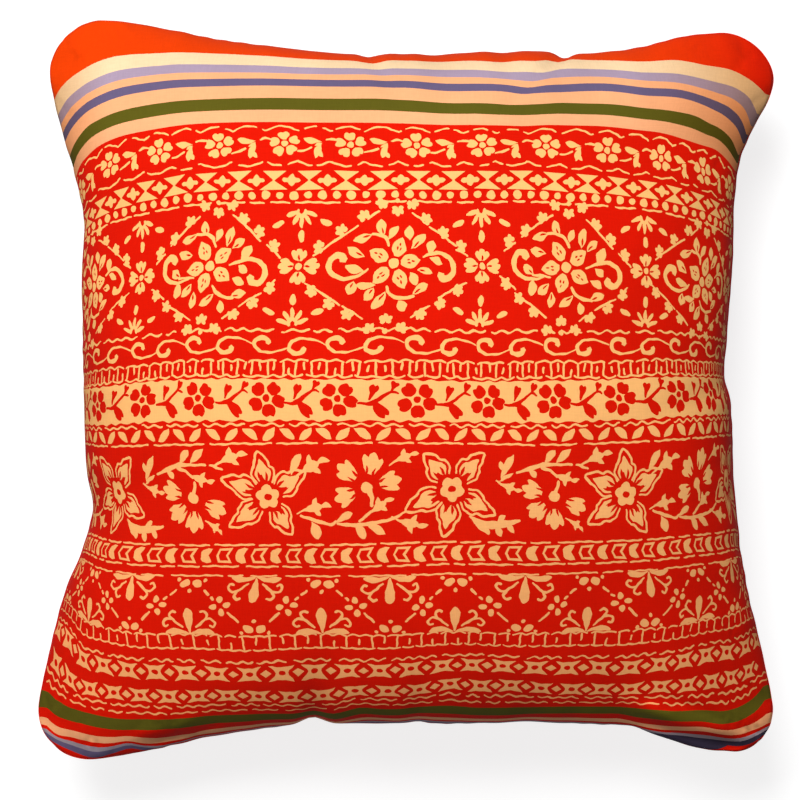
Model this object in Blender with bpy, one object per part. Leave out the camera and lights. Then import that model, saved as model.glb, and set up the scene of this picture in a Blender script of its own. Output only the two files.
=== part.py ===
"""A filled square cushion in a sewn cover, lying on its back with the printed face up.

The cover is two panels cut to one square with rounded corners and sewn edge to edge.
Stuffing crowns both panels and draws the four sides in between the corners. Each panel
is modelled as its own filled half, and the halves meet all over at the height of the seam.
+Y is the printed face's upper side, +Z is up, and the origin is under the middle.
"""
from collections import namedtuple

import bpy
import numpy as np

MM = 0.001

# The panels and the stuffing, in metres
CUT_SIDE = 0.457
HALF_CUT = CUT_SIDE / 2
FRONT_CROWN = 0.092
BACK_CROWN = 0.096
SEAM_HEIGHT = 0.072
PANEL_GAP = 0.0003

# How the crown rises: a power of 2 is an ellipse, and more is a flatter top with steeper sides.
# Towards the corners the stuffing thins out, and the crown rises from the seam more gently.
CROWN_POWER = 2.15
CORNER_THINNING = 0.35

# The corner's arc, as a share of half a side
CORNER_SHARE = 0.155

# How softly the back turns where it meets the surface, and how close to it the cloth lies on it
FLATTEN_SOFTNESS = 0.005
LIES_FLAT_BELOW = 0.0008

# Cells along a side, and how far they crowd towards the seam, where the crown is steep
CELLS = 44
CROWDING = 0.8

# How far the seam is drawn in from the cut edge along each side.
# place runs from -1 to 1 along the side: left to right, or bottom to top.
SideRow = namedtuple("SideRow", "place drawn_in_mm")

TOP_SIDE = [
    SideRow(-1.00, 5.5),
    SideRow(-0.80, 6.1),
    SideRow(-0.67, 11.0),
    SideRow(-0.51, 18.0),
    SideRow(-0.35, 22.0),
    SideRow(-0.18, 25.8),
    SideRow(0.00, 25.8),
    SideRow(0.20, 24.8),
    SideRow(0.36, 25.0),
    SideRow(0.48, 26.2),
    SideRow(0.64, 22.2),
    SideRow(0.76, 15.7),
    SideRow(0.85, 14.5),
    SideRow(1.00, 15.5),
]

BOTTOM_SIDE = [
    SideRow(-1.00, 8.5),
    SideRow(-0.82, 9.7),
    SideRow(-0.67, 15.7),
    SideRow(-0.51, 24.5),
    SideRow(-0.35, 30.5),
    SideRow(-0.18, 32.5),
    SideRow(0.07, 32.5),
    SideRow(0.31, 33.0),
    SideRow(0.56, 30.5),
    SideRow(0.64, 26.5),
    SideRow(0.72, 20.0),
    SideRow(0.81, 15.1),
    SideRow(1.00, 14.0),
]

LEFT_SIDE = [
    SideRow(-1.00, 7.5),
    SideRow(-0.84, 9.5),
    SideRow(-0.70, 16.0),
    SideRow(-0.54, 26.0),
    SideRow(-0.41, 37.5),
    SideRow(-0.33, 41.5),
    SideRow(-0.21, 38.5),
    SideRow(0.00, 37.0),
    SideRow(0.32, 35.5),
    SideRow(0.48, 36.5),
    SideRow(0.60, 30.0),
    SideRow(0.73, 21.5),
    SideRow(0.85, 16.0),
    SideRow(1.00, 14.5),
]

RIGHT_SIDE = [
    SideRow(-1.00, 9.0),
    SideRow(-0.84, 10.5),
    SideRow(-0.70, 16.0),
    SideRow(-0.54, 25.0),
    SideRow(-0.41, 29.5),
    SideRow(-0.25, 33.5),
    SideRow(-0.05, 35.0),
    SideRow(0.04, 38.5),
    SideRow(0.16, 37.5),
    SideRow(0.36, 34.0),
    SideRow(0.56, 32.0),
    SideRow(0.65, 28.5),
    SideRow(0.73, 20.5),
    SideRow(0.81, 11.0),
    SideRow(1.00, 8.0),
]

# How far each corner turns up from the seam's height as the sides draw in
CornerRow = namedtuple("CornerRow", "across up lift_mm")

CORNER_LIFTS = [
    CornerRow(-1, -1, 5.0),
    CornerRow(1, -1, 8.0),
    CornerRow(-1, 1, 7.0),
    CornerRow(1, 1, 4.0),
]

# Puckers where the stitching gathers the cloth: each pulls the seam in and runs inwards as a trough.
# place and width are shares of half a side.
Pucker = namedtuple("Pucker", "side place width pull_mm trough_mm reach_mm")

PUCKERS = [
    Pucker("top", -0.10, 0.045, 2.2, 4.0, 40.0),
    Pucker("top", 0.44, 0.040, 2.4, 3.5, 34.0),
    Pucker("bottom", -0.24, 0.070, 3.6, 5.5, 55.0),
    Pucker("bottom", 0.03, 0.040, 1.5, 5.0, 26.0),
    Pucker("left", -0.30, 0.065, 0.8, 5.0, 60.0),
    Pucker("right", 0.03, 0.060, 0.6, 4.0, 55.0),
    Pucker("right", -0.43, 0.055, 0.6, 3.5, 45.0),
]

# The seam itself moves only within this distance of the edge, and a trough starts this far inside
PULL_REACH = 0.018
TROUGH_START = 0.010

PANEL_COLOURS = {
    "front_panel": (0.80, 0.11, 0.03, 1.0),
    "back_panel": (0.74, 0.03, 0.01, 1.0),
}
CLOTH_ROUGHNESS = 0.85


def drawn_in(rows, place):
    """A smooth curve through a side's table, in metres at each place along the side."""
    places = np.array([row.place for row in rows])
    depths = np.array([row.drawn_in_mm for row in rows]) * MM
    slopes = np.gradient(depths, places)
    span = np.clip(np.searchsorted(places, place, side="right") - 1, 0, len(rows) - 2)
    width = places[span + 1] - places[span]
    f = np.clip((place - places[span]) / width, 0.0, 1.0)
    start = (1 + 2 * f) * (1 - f) ** 2 * depths[span] + f * (1 - f) ** 2 * width * slopes[span]
    finish = f**2 * (3 - 2 * f) * depths[span + 1] - f**2 * (1 - f) * width * slopes[span + 1]
    return start + finish


def rounded_side(along):
    """A rounded square's right-hand side, from the middle of one corner's arc to the next."""
    straight = 1 - CORNER_SHARE
    length = straight + CORNER_SHARE * np.pi / 4
    travel = np.abs(along) * length
    turn = np.clip((travel - straight) / CORNER_SHARE, 0.0, None)
    out = straight + CORNER_SHARE * np.cos(turn)
    rise = np.where(turn > 0, straight + CORNER_SHARE * np.sin(turn), travel)
    return out, np.sign(along) * rise


def rounded_square(s, t):
    """Spreads a square grid over a rounded square whose sides lie at -1 and 1."""
    right_out, right_up = rounded_side(t)
    top_out, top_along = rounded_side(s)
    tip = rounded_side(np.array(1.0))[0]
    u = s * right_out + top_along - s * tip
    v = t * top_out + right_up - t * tip
    return u, v


def crown(s, t):
    """How full the cushion is: 1 in the middle and 0 all along the seam."""
    across = np.clip(1 - np.abs(s) ** CROWN_POWER, 0.0, None)
    up = np.clip(1 - np.abs(t) ** CROWN_POWER, 0.0, None)
    return across ** (1 / CROWN_POWER + CORNER_THINNING * t**2) * up ** (1 / CROWN_POWER + CORNER_THINNING * s**2)


def plan_places(u, v):
    """The cloth's place seen from above, with each side drawn in by its own table."""
    right = HALF_CUT - drawn_in(RIGHT_SIDE, v)
    left = HALF_CUT - drawn_in(LEFT_SIDE, v)
    top = HALF_CUT - drawn_in(TOP_SIDE, u)
    bottom = HALF_CUT - drawn_in(BOTTOM_SIDE, u)
    x = u * (right + left) / 2 + u**2 * (right - left) / 2
    y = v * (top + bottom) / 2 + v**2 * (top - bottom) / 2
    return x, y


def seam_heights(u, v):
    """The height of the seam's surface, which turns up towards the four corners."""
    height = np.full_like(u, SEAM_HEIGHT)
    for corner in CORNER_LIFTS:
        nearness = np.clip((1 + corner.across * u) * (1 + corner.up * v) / 4, 0.0, 1.0)
        height = height + corner.lift_mm * MM * nearness**3
    return height


def add_puckers(u, v, x, y):
    """Pulls the seam in at each pucker and returns the depth of the troughs."""
    troughs = np.zeros_like(u)
    for pucker in PUCKERS:
        upright = pucker.side in ("left", "right")
        outward = 1 if pucker.side in ("top", "right") else -1
        along = v if upright else u
        inwards = (1 - outward * (u if upright else v)) * HALF_CUT
        across = np.exp(-(((along - pucker.place) / pucker.width) ** 2))
        pull = outward * pucker.pull_mm * MM * across * np.exp(-inwards / PULL_REACH)
        if upright:
            x = x - pull
        else:
            y = y - pull
        fade = np.exp(-inwards / (pucker.reach_mm * MM)) * (1 - np.exp(-inwards / TROUGH_START))
        troughs += pucker.trough_mm * MM * across * fade
    return x, y, troughs


def rest_on_surface(z):
    """Flattens what would reach below the surface, with a soft turn at the flat's edge."""
    turn = (z + FLATTEN_SOFTNESS) ** 2 / (4 * FLATTEN_SOFTNESS)
    height = np.where(z < -FLATTEN_SOFTNESS, 0.0, np.where(z > FLATTEN_SOFTNESS, z, turn))
    return np.where(height < LIES_FLAT_BELOW, 0.0, height)


def grid_lines():
    """Places of the grid's lines from -1 to 1, closer together near the seam."""
    even = np.linspace(-1.0, 1.0, CELLS + 1)
    return (1 - CROWDING) * even + CROWDING * np.sin(even * np.pi / 2)


def cushion_surfaces():
    """Both panels' points, with the middle of the cushion's outline over the origin."""
    s, t = np.meshgrid(grid_lines(), grid_lines(), indexing="ij")
    u, v = rounded_square(s, t)
    x, y = plan_places(u, v)
    x, y, troughs = add_puckers(u, v, x, y)
    x = x - (x.min() + x.max()) / 2
    y = y - (y.min() + y.max()) / 2
    seam = seam_heights(u, v)
    fullness = crown(s, t)
    front = seam + PANEL_GAP / 2 + (FRONT_CROWN - troughs) * fullness
    back = rest_on_surface(seam - PANEL_GAP / 2 - (BACK_CROWN - troughs) * fullness)
    return x, y, front, back


def add_filled_panel(name, x, y, z, seam_middle, faces_up):
    """Makes one panel's filled half: its crowned grid, closed by flat faces at the seam."""
    points = [tuple(point) for point in np.stack([x.ravel(), y.ravel(), z.ravel()], axis=1)]
    row = CELLS + 1
    faces = []
    for i in range(CELLS):
        for j in range(CELLS):
            corner = i * row + j
            faces.append((corner, corner + row, corner + row + 1, corner + 1))
    rim = [i * row for i in range(CELLS)]
    rim += [CELLS * row + j for j in range(CELLS)]
    rim += [i * row + CELLS for i in range(CELLS, 0, -1)]
    rim += list(range(CELLS, 0, -1))
    middle = len(points)
    points.append((0.0, 0.0, seam_middle))
    for here, there in zip(rim, rim[1:] + rim[:1]):
        faces.append((there, here, middle))
    if not faces_up:
        faces = [tuple(reversed(face)) for face in faces]

    mesh = bpy.data.meshes.new(name)
    mesh.from_pydata(points, [], faces)
    mesh.validate()
    mesh.shade_smooth()
    mesh.set_sharp_from_angle(angle=np.radians(50))
    panel = bpy.data.objects.new(name, mesh)
    bpy.context.collection.objects.link(panel)
    panel.data.materials.append(cloth_material(name))
    return panel


def cloth_material(name):
    """Woven cloth in the panel's own colour."""
    material = bpy.data.materials.new(name)
    material.use_nodes = True
    shader = material.node_tree.nodes["Principled BSDF"]
    shader.inputs["Base Color"].default_value = PANEL_COLOURS[name]
    shader.inputs["Roughness"].default_value = CLOTH_ROUGHNESS
    shader.inputs["Metallic"].default_value = 0.0
    return material


for old in list(bpy.data.objects):
    bpy.data.objects.remove(old, do_unlink=True)

plan_x, plan_y, front_z, back_z = cushion_surfaces()
add_filled_panel("front_panel", plan_x, plan_y, front_z, SEAM_HEIGHT + PANEL_GAP / 2, True)
add_filled_panel("back_panel", plan_x, plan_y, back_z, SEAM_HEIGHT - PANEL_GAP / 2, False)
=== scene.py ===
import math
from collections import namedtuple

import bpy
import numpy as np
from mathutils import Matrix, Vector
from mathutils.geometry import delaunay_2d_cdt


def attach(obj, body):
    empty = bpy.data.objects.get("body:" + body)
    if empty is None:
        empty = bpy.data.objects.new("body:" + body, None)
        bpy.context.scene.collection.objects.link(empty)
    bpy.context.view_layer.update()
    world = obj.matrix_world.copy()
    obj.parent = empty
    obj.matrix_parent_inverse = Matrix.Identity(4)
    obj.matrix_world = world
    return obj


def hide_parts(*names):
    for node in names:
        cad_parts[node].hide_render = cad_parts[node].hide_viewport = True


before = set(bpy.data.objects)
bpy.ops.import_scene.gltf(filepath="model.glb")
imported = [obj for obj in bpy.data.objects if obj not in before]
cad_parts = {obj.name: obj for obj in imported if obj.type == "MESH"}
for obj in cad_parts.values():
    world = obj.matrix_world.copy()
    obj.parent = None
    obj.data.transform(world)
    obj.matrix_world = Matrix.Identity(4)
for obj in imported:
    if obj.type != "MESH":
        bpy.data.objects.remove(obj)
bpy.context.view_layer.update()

# The sewn cover. Two cotton panels are cut to one square with rounded corners, sewn edge to edge,
# turned and stuffed with fibre. The stuffing crowns both panels, draws the sides in between the
# corners and gathers the cloth in puckers where the stitching holds it.
MM = 0.001
HALF_CUT = 0.457 / 2
FRONT_CROWN = 0.092
BACK_CROWN = 0.096
SEAM_HEIGHT = 0.072
CROWN_POWER = 2.15
CORNER_THINNING = 0.35
CORNER_SHARE = 0.155
THREADS = 128
MEAN_HALF = 0.205

# Each row: place along the side, left to right or bottom to top, and how far the seam is drawn in, in mm
TOP_SIDE = [(-1.0, 7.5), (-0.8, 6.6), (-0.67, 11), (-0.51, 18), (-0.35, 22.6), (-0.18, 26.6),
            (0, 26.8), (0.12, 27.0), (0.2, 25.6), (0.36, 25), (0.48, 26.2), (0.64, 22.2), (0.76, 15.5),
            (0.85, 13.6), (1, 12.5)]
BOTTOM_SIDE = [(-1.0, 8.5), (-0.82, 9.7), (-0.67, 15.7), (-0.51, 23.6), (-0.35, 29.1), (-0.18, 31),
               (0.07, 30.9), (0.31, 31.4), (0.56, 29.2), (0.64, 26), (0.72, 20), (0.81, 14.6),
               (1, 9.5)]
LEFT_SIDE = [(-1.0, 7.5), (-0.84, 9.5), (-0.7, 16), (-0.54, 26), (-0.41, 37.5), (-0.33, 41.5),
             (-0.21, 38.5), (0, 37), (0.32, 35.5), (0.48, 36.5), (0.6, 30), (0.73, 21.5), (0.85, 16),
             (1, 15.5)]
RIGHT_SIDE = [(-1.0, 6.5), (-0.84, 9.5), (-0.7, 16), (-0.54, 25), (-0.41, 29.5), (-0.25, 33.5),
              (-0.06, 35), (0.0, 36.2), (0.04, 38.5), (0.16, 37.5), (0.36, 34), (0.56, 32),
              (0.65, 28.5), (0.73, 20.5), (0.81, 11), (1, 8)]
CORNER_LIFTS = [(-1, -1, 5), (1, -1, 8), (-1, 1, 7), (1, 1, 4)]

# Puckers at the seam: place and width are shares of half a side. Each pulls the seam in and runs
# inwards as a trough, on a slant of so many mm sideways for each mm inwards.
Pucker = namedtuple("Pucker", "side place width pull_mm trough_mm reach_mm slant")

PUCKERS = [
    Pucker("top", -0.10, 0.026, 2.0, 4.0, 40.0, 0.5),
    Pucker("top", 0.435, 0.024, 3.6, 3.5, 34.0, -0.9),
    Pucker("bottom", -0.25, 0.038, 4.4, 5.5, 55.0, 0.2),
    Pucker("bottom", 0.03, 0.040, 1.5, 5.0, 26.0, 0.0),
    Pucker("left", -0.30, 0.045, 1.0, 5.0, 60.0, 0.3),
    Pucker("right", 0.025, 0.030, 1.0, 4.5, 50.0, -0.35),
    Pucker("right", -0.43, 0.035, 0.8, 3.5, 45.0, 0.4),
    Pucker("top", 0.07, 0.040, 0.6, 1.6, 45.0, 0.2),
    Pucker("top", 0.27, 0.035, 1.2, 2.0, 38.0, 0.3),
    Pucker("bottom", 0.33, 0.050, 1.0, 1.8, 40.0, -0.3),
    Pucker("bottom", 0.60, 0.045, 1.6, 2.0, 35.0, -0.5),
    Pucker("bottom", 0.86, 0.040, 1.4, 2.0, 30.0, -0.8),
    Pucker("bottom", -0.55, 0.060, 0.8, 1.6, 45.0, 0.3),
    Pucker("left", 0.20, 0.060, 0.5, 1.6, 40.0, 0.2),
]
# Folds that run beside the seam near the bottom corners, each between two places along the side
Tuck = namedtuple("Tuck", "start finish inwards_mm width_mm deep_mm ridge_mm")

TUCKS = [
    Tuck(-0.76, -0.50, 6.0, 4.0, 5.0, 2.5),
    Tuck(0.56, 0.95, 7.5, 4.5, 4.2, 4.5),
]
TUCK_ENDS = 0.1
RIDGE_BEYOND = 2.3
SEAM_HOLDS_MM = 3
PULL_REACH = 0.018
TROUGH_START = 0.010
TROUGH_SPREAD = 8


def smooth_rows(rows, place):
    """A smooth curve through rows of (place, mm), in mm, level beyond both ends."""
    places, values = np.array(rows, float).T
    slopes = np.gradient(values, places)
    span = np.clip(np.searchsorted(places, place, side="right") - 1, 0, len(places) - 2)
    width = places[span + 1] - places[span]
    f = np.clip((place - places[span]) / width, 0, 1)
    start = (1 + 2 * f) * (1 - f) ** 2 * values[span] + f * (1 - f) ** 2 * width * slopes[span]
    finish = f**2 * (3 - 2 * f) * values[span + 1] - f**2 * (1 - f) * width * slopes[span + 1]
    return start + finish


def rounded_side(along):
    """A rounded square's right-hand side, from the middle of one corner's arc to the next."""
    straight = 1 - CORNER_SHARE
    travel = np.abs(along) * (straight + CORNER_SHARE * math.pi / 4)
    turn = np.clip((travel - straight) / CORNER_SHARE, 0, None)
    rise = np.where(turn > 0, straight + CORNER_SHARE * np.sin(turn), travel)
    return straight + CORNER_SHARE * np.cos(turn), np.sign(along) * rise


def rounded_square(s, t):
    """Spreads a square grid over the rounded square of a cut panel."""
    right_out, right_up = rounded_side(t)
    top_out, top_along = rounded_side(s)
    tip = rounded_side(np.array(1.0))[0]
    return s * right_out + top_along - s * tip, t * top_out + right_up - t * tip


def crown(s, t):
    """How full the cushion is: 1 in the middle, 0 along the seam, and thin towards the corners."""
    across = np.clip(1 - np.abs(s) ** CROWN_POWER, 0, None)
    up = np.clip(1 - np.abs(t) ** CROWN_POWER, 0, None)
    across = across ** (1 / CROWN_POWER + CORNER_THINNING * t**2)
    return across * up ** (1 / CROWN_POWER + CORNER_THINNING * s**2)


def even_cloth(side, across):
    """Where threads that are even in the flat cloth lie on the crown, as shares of half a side."""
    fine = np.sin(np.linspace(-1, 1, 401) * math.pi / 2)
    spread = np.empty_like(side)
    for row in range(side.shape[1]):
        rise = FRONT_CROWN * np.diff(crown(fine, across[:, row].mean()))
        steps = np.hypot(np.diff(fine) * MEAN_HALF, rise)
        length = np.concatenate([[0], np.cumsum(steps)])
        spread[:, row] = np.interp(side[:, row], length / length[-1] * 2 - 1, fine)
    return spread


def ramp(value, start, reach):
    """0 up to the start, then evenly up to 1 over the reach."""
    return np.clip((value - start) / reach, 0, 1)


even = np.linspace(-1, 1, THREADS + 1)
flat_s, flat_t = np.meshgrid(even, even, indexing="ij")
cut_u, cut_v = rounded_square(flat_s, flat_t)
form_s, form_t = flat_s, flat_t
for settle in range(3):
    form_s, form_t = even_cloth(flat_s, form_t), even_cloth(flat_t.T, form_s.T).T
form_u, form_v = rounded_square(form_s, form_t)
right = HALF_CUT - smooth_rows(RIGHT_SIDE, form_v) * MM
left = HALF_CUT - smooth_rows(LEFT_SIDE, form_v) * MM
top = HALF_CUT - smooth_rows(TOP_SIDE, form_u) * MM
bottom = HALF_CUT - smooth_rows(BOTTOM_SIDE, form_u) * MM
form_x = form_u * (right + left) / 2 + form_u**2 * (right - left) / 2
form_y = form_v * (top + bottom) / 2 + form_v**2 * (top - bottom) / 2
troughs = np.zeros_like(form_u)
tucks = np.zeros_like(form_u)
for pucker in PUCKERS:
    upright = pucker.side in ("left", "right")
    outward = 1 if pucker.side in ("top", "right") else -1
    inwards = (1 - outward * (form_u if upright else form_v)) * HALF_CUT
    along = (form_v if upright else form_u) - pucker.slant * inwards / HALF_CUT
    across = np.exp(-(((along - pucker.place) / (pucker.width * (1 + TROUGH_SPREAD * inwards))) ** 2))
    pull = outward * pucker.pull_mm * MM * across * np.exp(-inwards / PULL_REACH)
    form_x -= pull if upright else 0
    form_y -= 0 if upright else pull
    fade = np.exp(-inwards / (pucker.reach_mm * MM)) * (1 - np.exp(-inwards / TROUGH_START))
    troughs += pucker.trough_mm * MM * across * fade
for tuck in TUCKS:
    below = (1 + form_v) * HALF_CUT / MM
    along = ramp(form_u, tuck.start, TUCK_ENDS) * ramp(-form_u, -tuck.finish, TUCK_ENDS)
    hollow = along * np.exp(-(((below - tuck.inwards_mm) / tuck.width_mm) ** 2))
    ridge = along * np.exp(-(((below - RIDGE_BEYOND * tuck.inwards_mm) / tuck.inwards_mm) ** 2))
    tucks += (tuck.deep_mm * hollow * (1 - np.exp(-below / SEAM_HOLDS_MM)) - tuck.ridge_mm * ridge) * MM
form_x -= (form_x.min() + form_x.max()) / 2
form_y -= (form_y.min() + form_y.max()) / 2
form_seam = np.full_like(form_u, SEAM_HEIGHT)
for across, up, lift_mm in CORNER_LIFTS:
    form_seam += lift_mm * MM * np.clip((1 + across * form_u) * (1 + up * form_v) / 4, 0, 1) ** 3
form_full = crown(form_s, form_t)
front_form = np.stack([form_x, form_y, form_seam + (FRONT_CROWN - troughs) * form_full - tucks], axis=-1)
back_form = np.stack([form_x, form_y, form_seam - (BACK_CROWN - troughs) * form_full], axis=-1)

# The stuffed cover is let out of this form as cloth that keeps its cut size
SWELL_CAP = 0.006
PRESSURE = 18.0
FRAMES = 24
START_GATHER = 0.0010
GATHERS_REACH = 0.026
GATHERS_START = 0.006
GATHERS_WANDER = 0.05
row = THREADS + 1
rim = np.zeros((row, row), bool)
rim[0], rim[-1], rim[:, 0], rim[:, -1] = True, True, True, True
front_index = np.arange(row * row).reshape(row, row)
back_index = np.where(rim, front_index, 0)
back_index[~rim] = row * row + np.arange((~rim).sum())


def stuffed_cover():
    """Swells the sewn cover as cloth and returns both panels' points."""
    points = np.concatenate([front_form.reshape(-1, 3), back_form[~rim]])
    flat_front = np.stack([cut_u * HALF_CUT, cut_v * HALF_CUT, np.zeros_like(cut_u)], axis=-1)
    flat = np.concatenate([flat_front.reshape(-1, 3), flat_front[~rim]])
    from_seam = (1 - np.maximum(abs(flat_s), abs(flat_t))) * HALF_CUT
    by_a_side = abs(flat_s) > abs(flat_t)
    along_seam = np.where(by_a_side, flat_t, flat_s) * HALF_CUT
    side = np.where(by_a_side, 2 + np.sign(flat_s), 6 + np.sign(flat_t))
    gathers = np.zeros_like(flat_s)
    for length, share in ((0.017, 0.5), (0.026, 1.0), (0.041, 1.0)):
        phase = 2 * math.pi * along_seam / length + 3 * np.sin(along_seam / GATHERS_WANDER) + 1.7 * side
        gathers += share * np.sin(phase)
    let_go = 1 - np.exp(-from_seam / GATHERS_START)
    gathers *= START_GATHER * np.exp(-from_seam / GATHERS_REACH) * let_go
    start = points.copy()
    start[:, 2] += np.concatenate([gathers.ravel(), -gathers[~rim]])
    faces = []
    for index, turned_over in ((front_index, False), (back_index, True)):
        corners = [index[:-1, :-1], index[1:, :-1], index[1:, 1:], index[:-1, 1:]]
        quads = np.stack(corners, axis=-1).reshape(-1, 4)
        faces += (quads[:, ::-1] if turned_over else quads).tolist()
    mesh = bpy.data.meshes.new("cover")
    mesh.from_pydata(start.tolist(), [], faces)
    cover = bpy.data.objects.new("cover", mesh)
    bpy.context.collection.objects.link(cover)
    cover.shape_key_add(name="filled")
    cut = cover.shape_key_add(name="cut")
    cut.data.foreach_set("co", flat.ravel())
    seam = cover.vertex_groups.new(name="seam")
    seam.add(front_index[rim].tolist(), 1.0, "REPLACE")
    cloth = cover.modifiers.new("stuffing", "CLOTH")
    cloth.settings.quality = 6
    cloth.settings.mass = 0.3
    cloth.settings.tension_stiffness = 40
    cloth.settings.compression_stiffness = 25
    cloth.settings.shear_stiffness = 10
    cloth.settings.bending_stiffness = 0.5
    cloth.settings.use_pressure = True
    cloth.settings.uniform_pressure_force = PRESSURE
    cloth.settings.rest_shape_key = cut
    cloth.settings.vertex_group_mass = "seam"
    cloth.settings.pin_stiffness = 1.0
    cloth.settings.effector_weights.gravity = 0
    cloth.collision_settings.use_collision = False
    cloth.collision_settings.use_self_collision = False
    cloth.point_cache.frame_start = 1
    cloth.point_cache.frame_end = FRAMES
    for frame_number in range(1, FRAMES + 1):
        bpy.context.scene.frame_set(frame_number)
    settled = cover.evaluated_get(bpy.context.evaluated_depsgraph_get()).to_mesh()
    swollen = np.empty(len(points) * 3)
    settled.vertices.foreach_get("co", swollen)
    bpy.context.scene.frame_set(1)
    bpy.data.objects.remove(cover, do_unlink=True)
    moved = swollen.reshape(-1, 3) - points
    far = np.linalg.norm(moved, axis=1, keepdims=True)
    points = points + moved * np.minimum(1, SWELL_CAP / np.maximum(far, 1e-9))
    return points[front_index], points[back_index]


front_grid, back_grid = stuffed_cover()

# What presses on the surface is flat, with a soft turn at the edge of the flat
FLATTEN_SOFTNESS = 0.005
LIES_FLAT_BELOW = 0.0008
low = back_grid[..., 2]
turn = (low + FLATTEN_SOFTNESS) ** 2 / (4 * FLATTEN_SOFTNESS)
low = np.where(low < -FLATTEN_SOFTNESS, 0, np.where(low > FLATTEN_SOFTNESS, low, turn))
back_grid[..., 2] = np.where(low < LIES_FLAT_BELOW, 0, low)


# The front panel. Cotton in plain weave, dyed red and printed across its whole width with
# stripes and hand-cut border blocks in one cream ink, then cut to the square and sewn at its rim.
BAND_REACH = 250
STRIPE_STEP = 4.0
rng = np.random.default_rng(7)

stamped = []


def turned(angle):
    """What turns an outline by so many degrees."""
    return np.exp(1j * math.radians(angle))


def stamp(dye, outline, place=0, turn=0.0, size=1.0):
    """Prints one outline, in mm as complex numbers, turned and set down at its place."""
    stamped.append((dye, place + outline * size * turned(turn)))


def cream(*outlines):
    """Outlines to be printed in cream, as parts of a motif."""
    return [("cream", outline) for outline in outlines]


def at(across, down):
    """A place on the flat cloth, from its middle line and its top edge."""
    return complex(across, -down)


def smooth_line(knots, steps=4, closed=False):
    """A smooth line through given points."""
    knots = np.asarray(knots, complex)
    if closed:
        ends = np.concatenate([knots[-1:], knots, knots[:2]])
    else:
        ends = np.concatenate([2 * knots[:1] - knots[1:2], knots, 2 * knots[-1:] - knots[-2:-1]])
    parts = (ends[:-3], ends[1:-2], ends[2:-1], ends[3:])
    before, here, after, beyond = (part[:, None] for part in parts)
    f = np.arange(steps) / steps
    line = here + f / 2 * (after - before + f * (2 * before - 5 * here + 4 * after - beyond
                                                 + f * (3 * here - before - 3 * after + beyond)))
    return line.ravel() if closed else np.append(line.ravel(), knots[-1])


def leaf(length, width, fullest=0.5, bend=0.0, start=0, turn=0.0):
    """A leaf or drop with its stalk end at the start, pointing the way it is turned."""
    t = np.linspace(0, 1, max(6, round(length / 1.2) + 3))
    half = width / 2 * np.sin(math.pi * t ** (math.log(0.5) / math.log(fullest))) ** 0.8
    middle = length * (t + 1j * bend * np.sin(math.pi * t))
    sides = np.concatenate([middle - 1j * half, (middle + 1j * half)[-2:0:-1]])
    return start + sides * turned(turn)


def mirrored(rows, length, width, start=0.0, steps=2, bend=0.0):
    """A closed outline from rows of (along, half width), as shares from the stalk end to a sharp tip."""
    side = smooth_line([along * length - 0.5j * width * half for along, half in rows], steps)
    outline = np.concatenate([side, side.conj()[-2::-1]])
    return start + outline + 1j * bend * outline.real**2 / length


def ribbon(line, widths):
    """A line with a width that changes along it and rounded ends."""
    way = np.gradient(line)
    way = way / abs(way)
    half = np.interp(np.linspace(0, 1, len(line)), np.linspace(0, 1, len(widths)), widths) / 2
    start = line[0] - way[0] * half[0] * 0.8
    finish = line[-1] + way[-1] * half[-1] * 0.8
    return np.concatenate([[start], line - 1j * way * half, [finish], (line + 1j * way * half)[::-1]])


def stem(knots, widths, steps=4):
    """A smooth stalk through given points."""
    return ribbon(smooth_line(knots, steps), widths)


def disc(radius, squash=1.0):
    """A round or flattened dot about its own middle."""
    turn = np.linspace(0, 2 * math.pi, max(8, round(radius * 5)), endpoint=False)
    return radius * (np.cos(turn) + 1j * squash * np.sin(turn))


def oval(length, width, start=0, turn=0.0):
    """A plump drop with its near end at the start."""
    return start + (length / 2 + disc(length / 2, width / length)) * turned(turn)


def leaves(rows, fullest=0.58):
    """Cream leaves from rows of stalk end, heading, length and width."""
    return cream(*(leaf(length, width, fullest, 0.04, start, way) for start, way, length, width in rows))


def print_motif(parts, place, turn=0.0, size=1.0, upright=True):
    """Prints a motif's outlines together, with a small slip of the block each time."""
    turn = turn + rng.uniform(-2.5, 2.5)
    size = size * rng.uniform(0.96, 1.03)
    for dye, outline in parts:
        stamp(dye, outline if upright else outline.conj()[::-1], place, turn, size)


def repeats(pitch, one_at, reach=BAND_REACH):
    """Places along a band where a repeat falls, from edge to edge."""
    first = math.ceil((-reach - one_at) / pitch)
    last = math.floor((reach - one_at) / pitch)
    return [one_at + pitch * k for k in range(first, last + 1)]


def dashed_line(down, width, dash, gap, wave=0.0, wavelength=9.0, cusps=0.0):
    """A hand-cut line of long dashes. It may wander in waves, or swing in arcs that meet in cusps."""
    start = -BAND_REACH + rng.uniform(0, 5)
    while start < BAND_REACH:
        length = dash * rng.uniform(0.35, 1.5)
        across = np.arange(start, start + length, 1.4)
        if len(across) > 2:
            swing = np.abs(np.sin(np.pi * (across + 4.5) / wavelength)) if cusps else 0.0
            ripple = np.sin(2 * np.pi * across / wavelength + 0.8 * np.sin(across / 7.0))
            height = cusps * swing + wave * ripple + 0.2 * np.sin(across / 3.1)
            widths = width * np.array([0.7, 1.0, 0.85, 1.05, 0.8])
            stamp("cream", ribbon(across + 1j * (height - down), widths))
        start += length + gap * rng.uniform(0.7, 1.5)


# The plain stripes beside both red margins
Stripe = namedtuple("Stripe", "dye top bottom")

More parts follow.
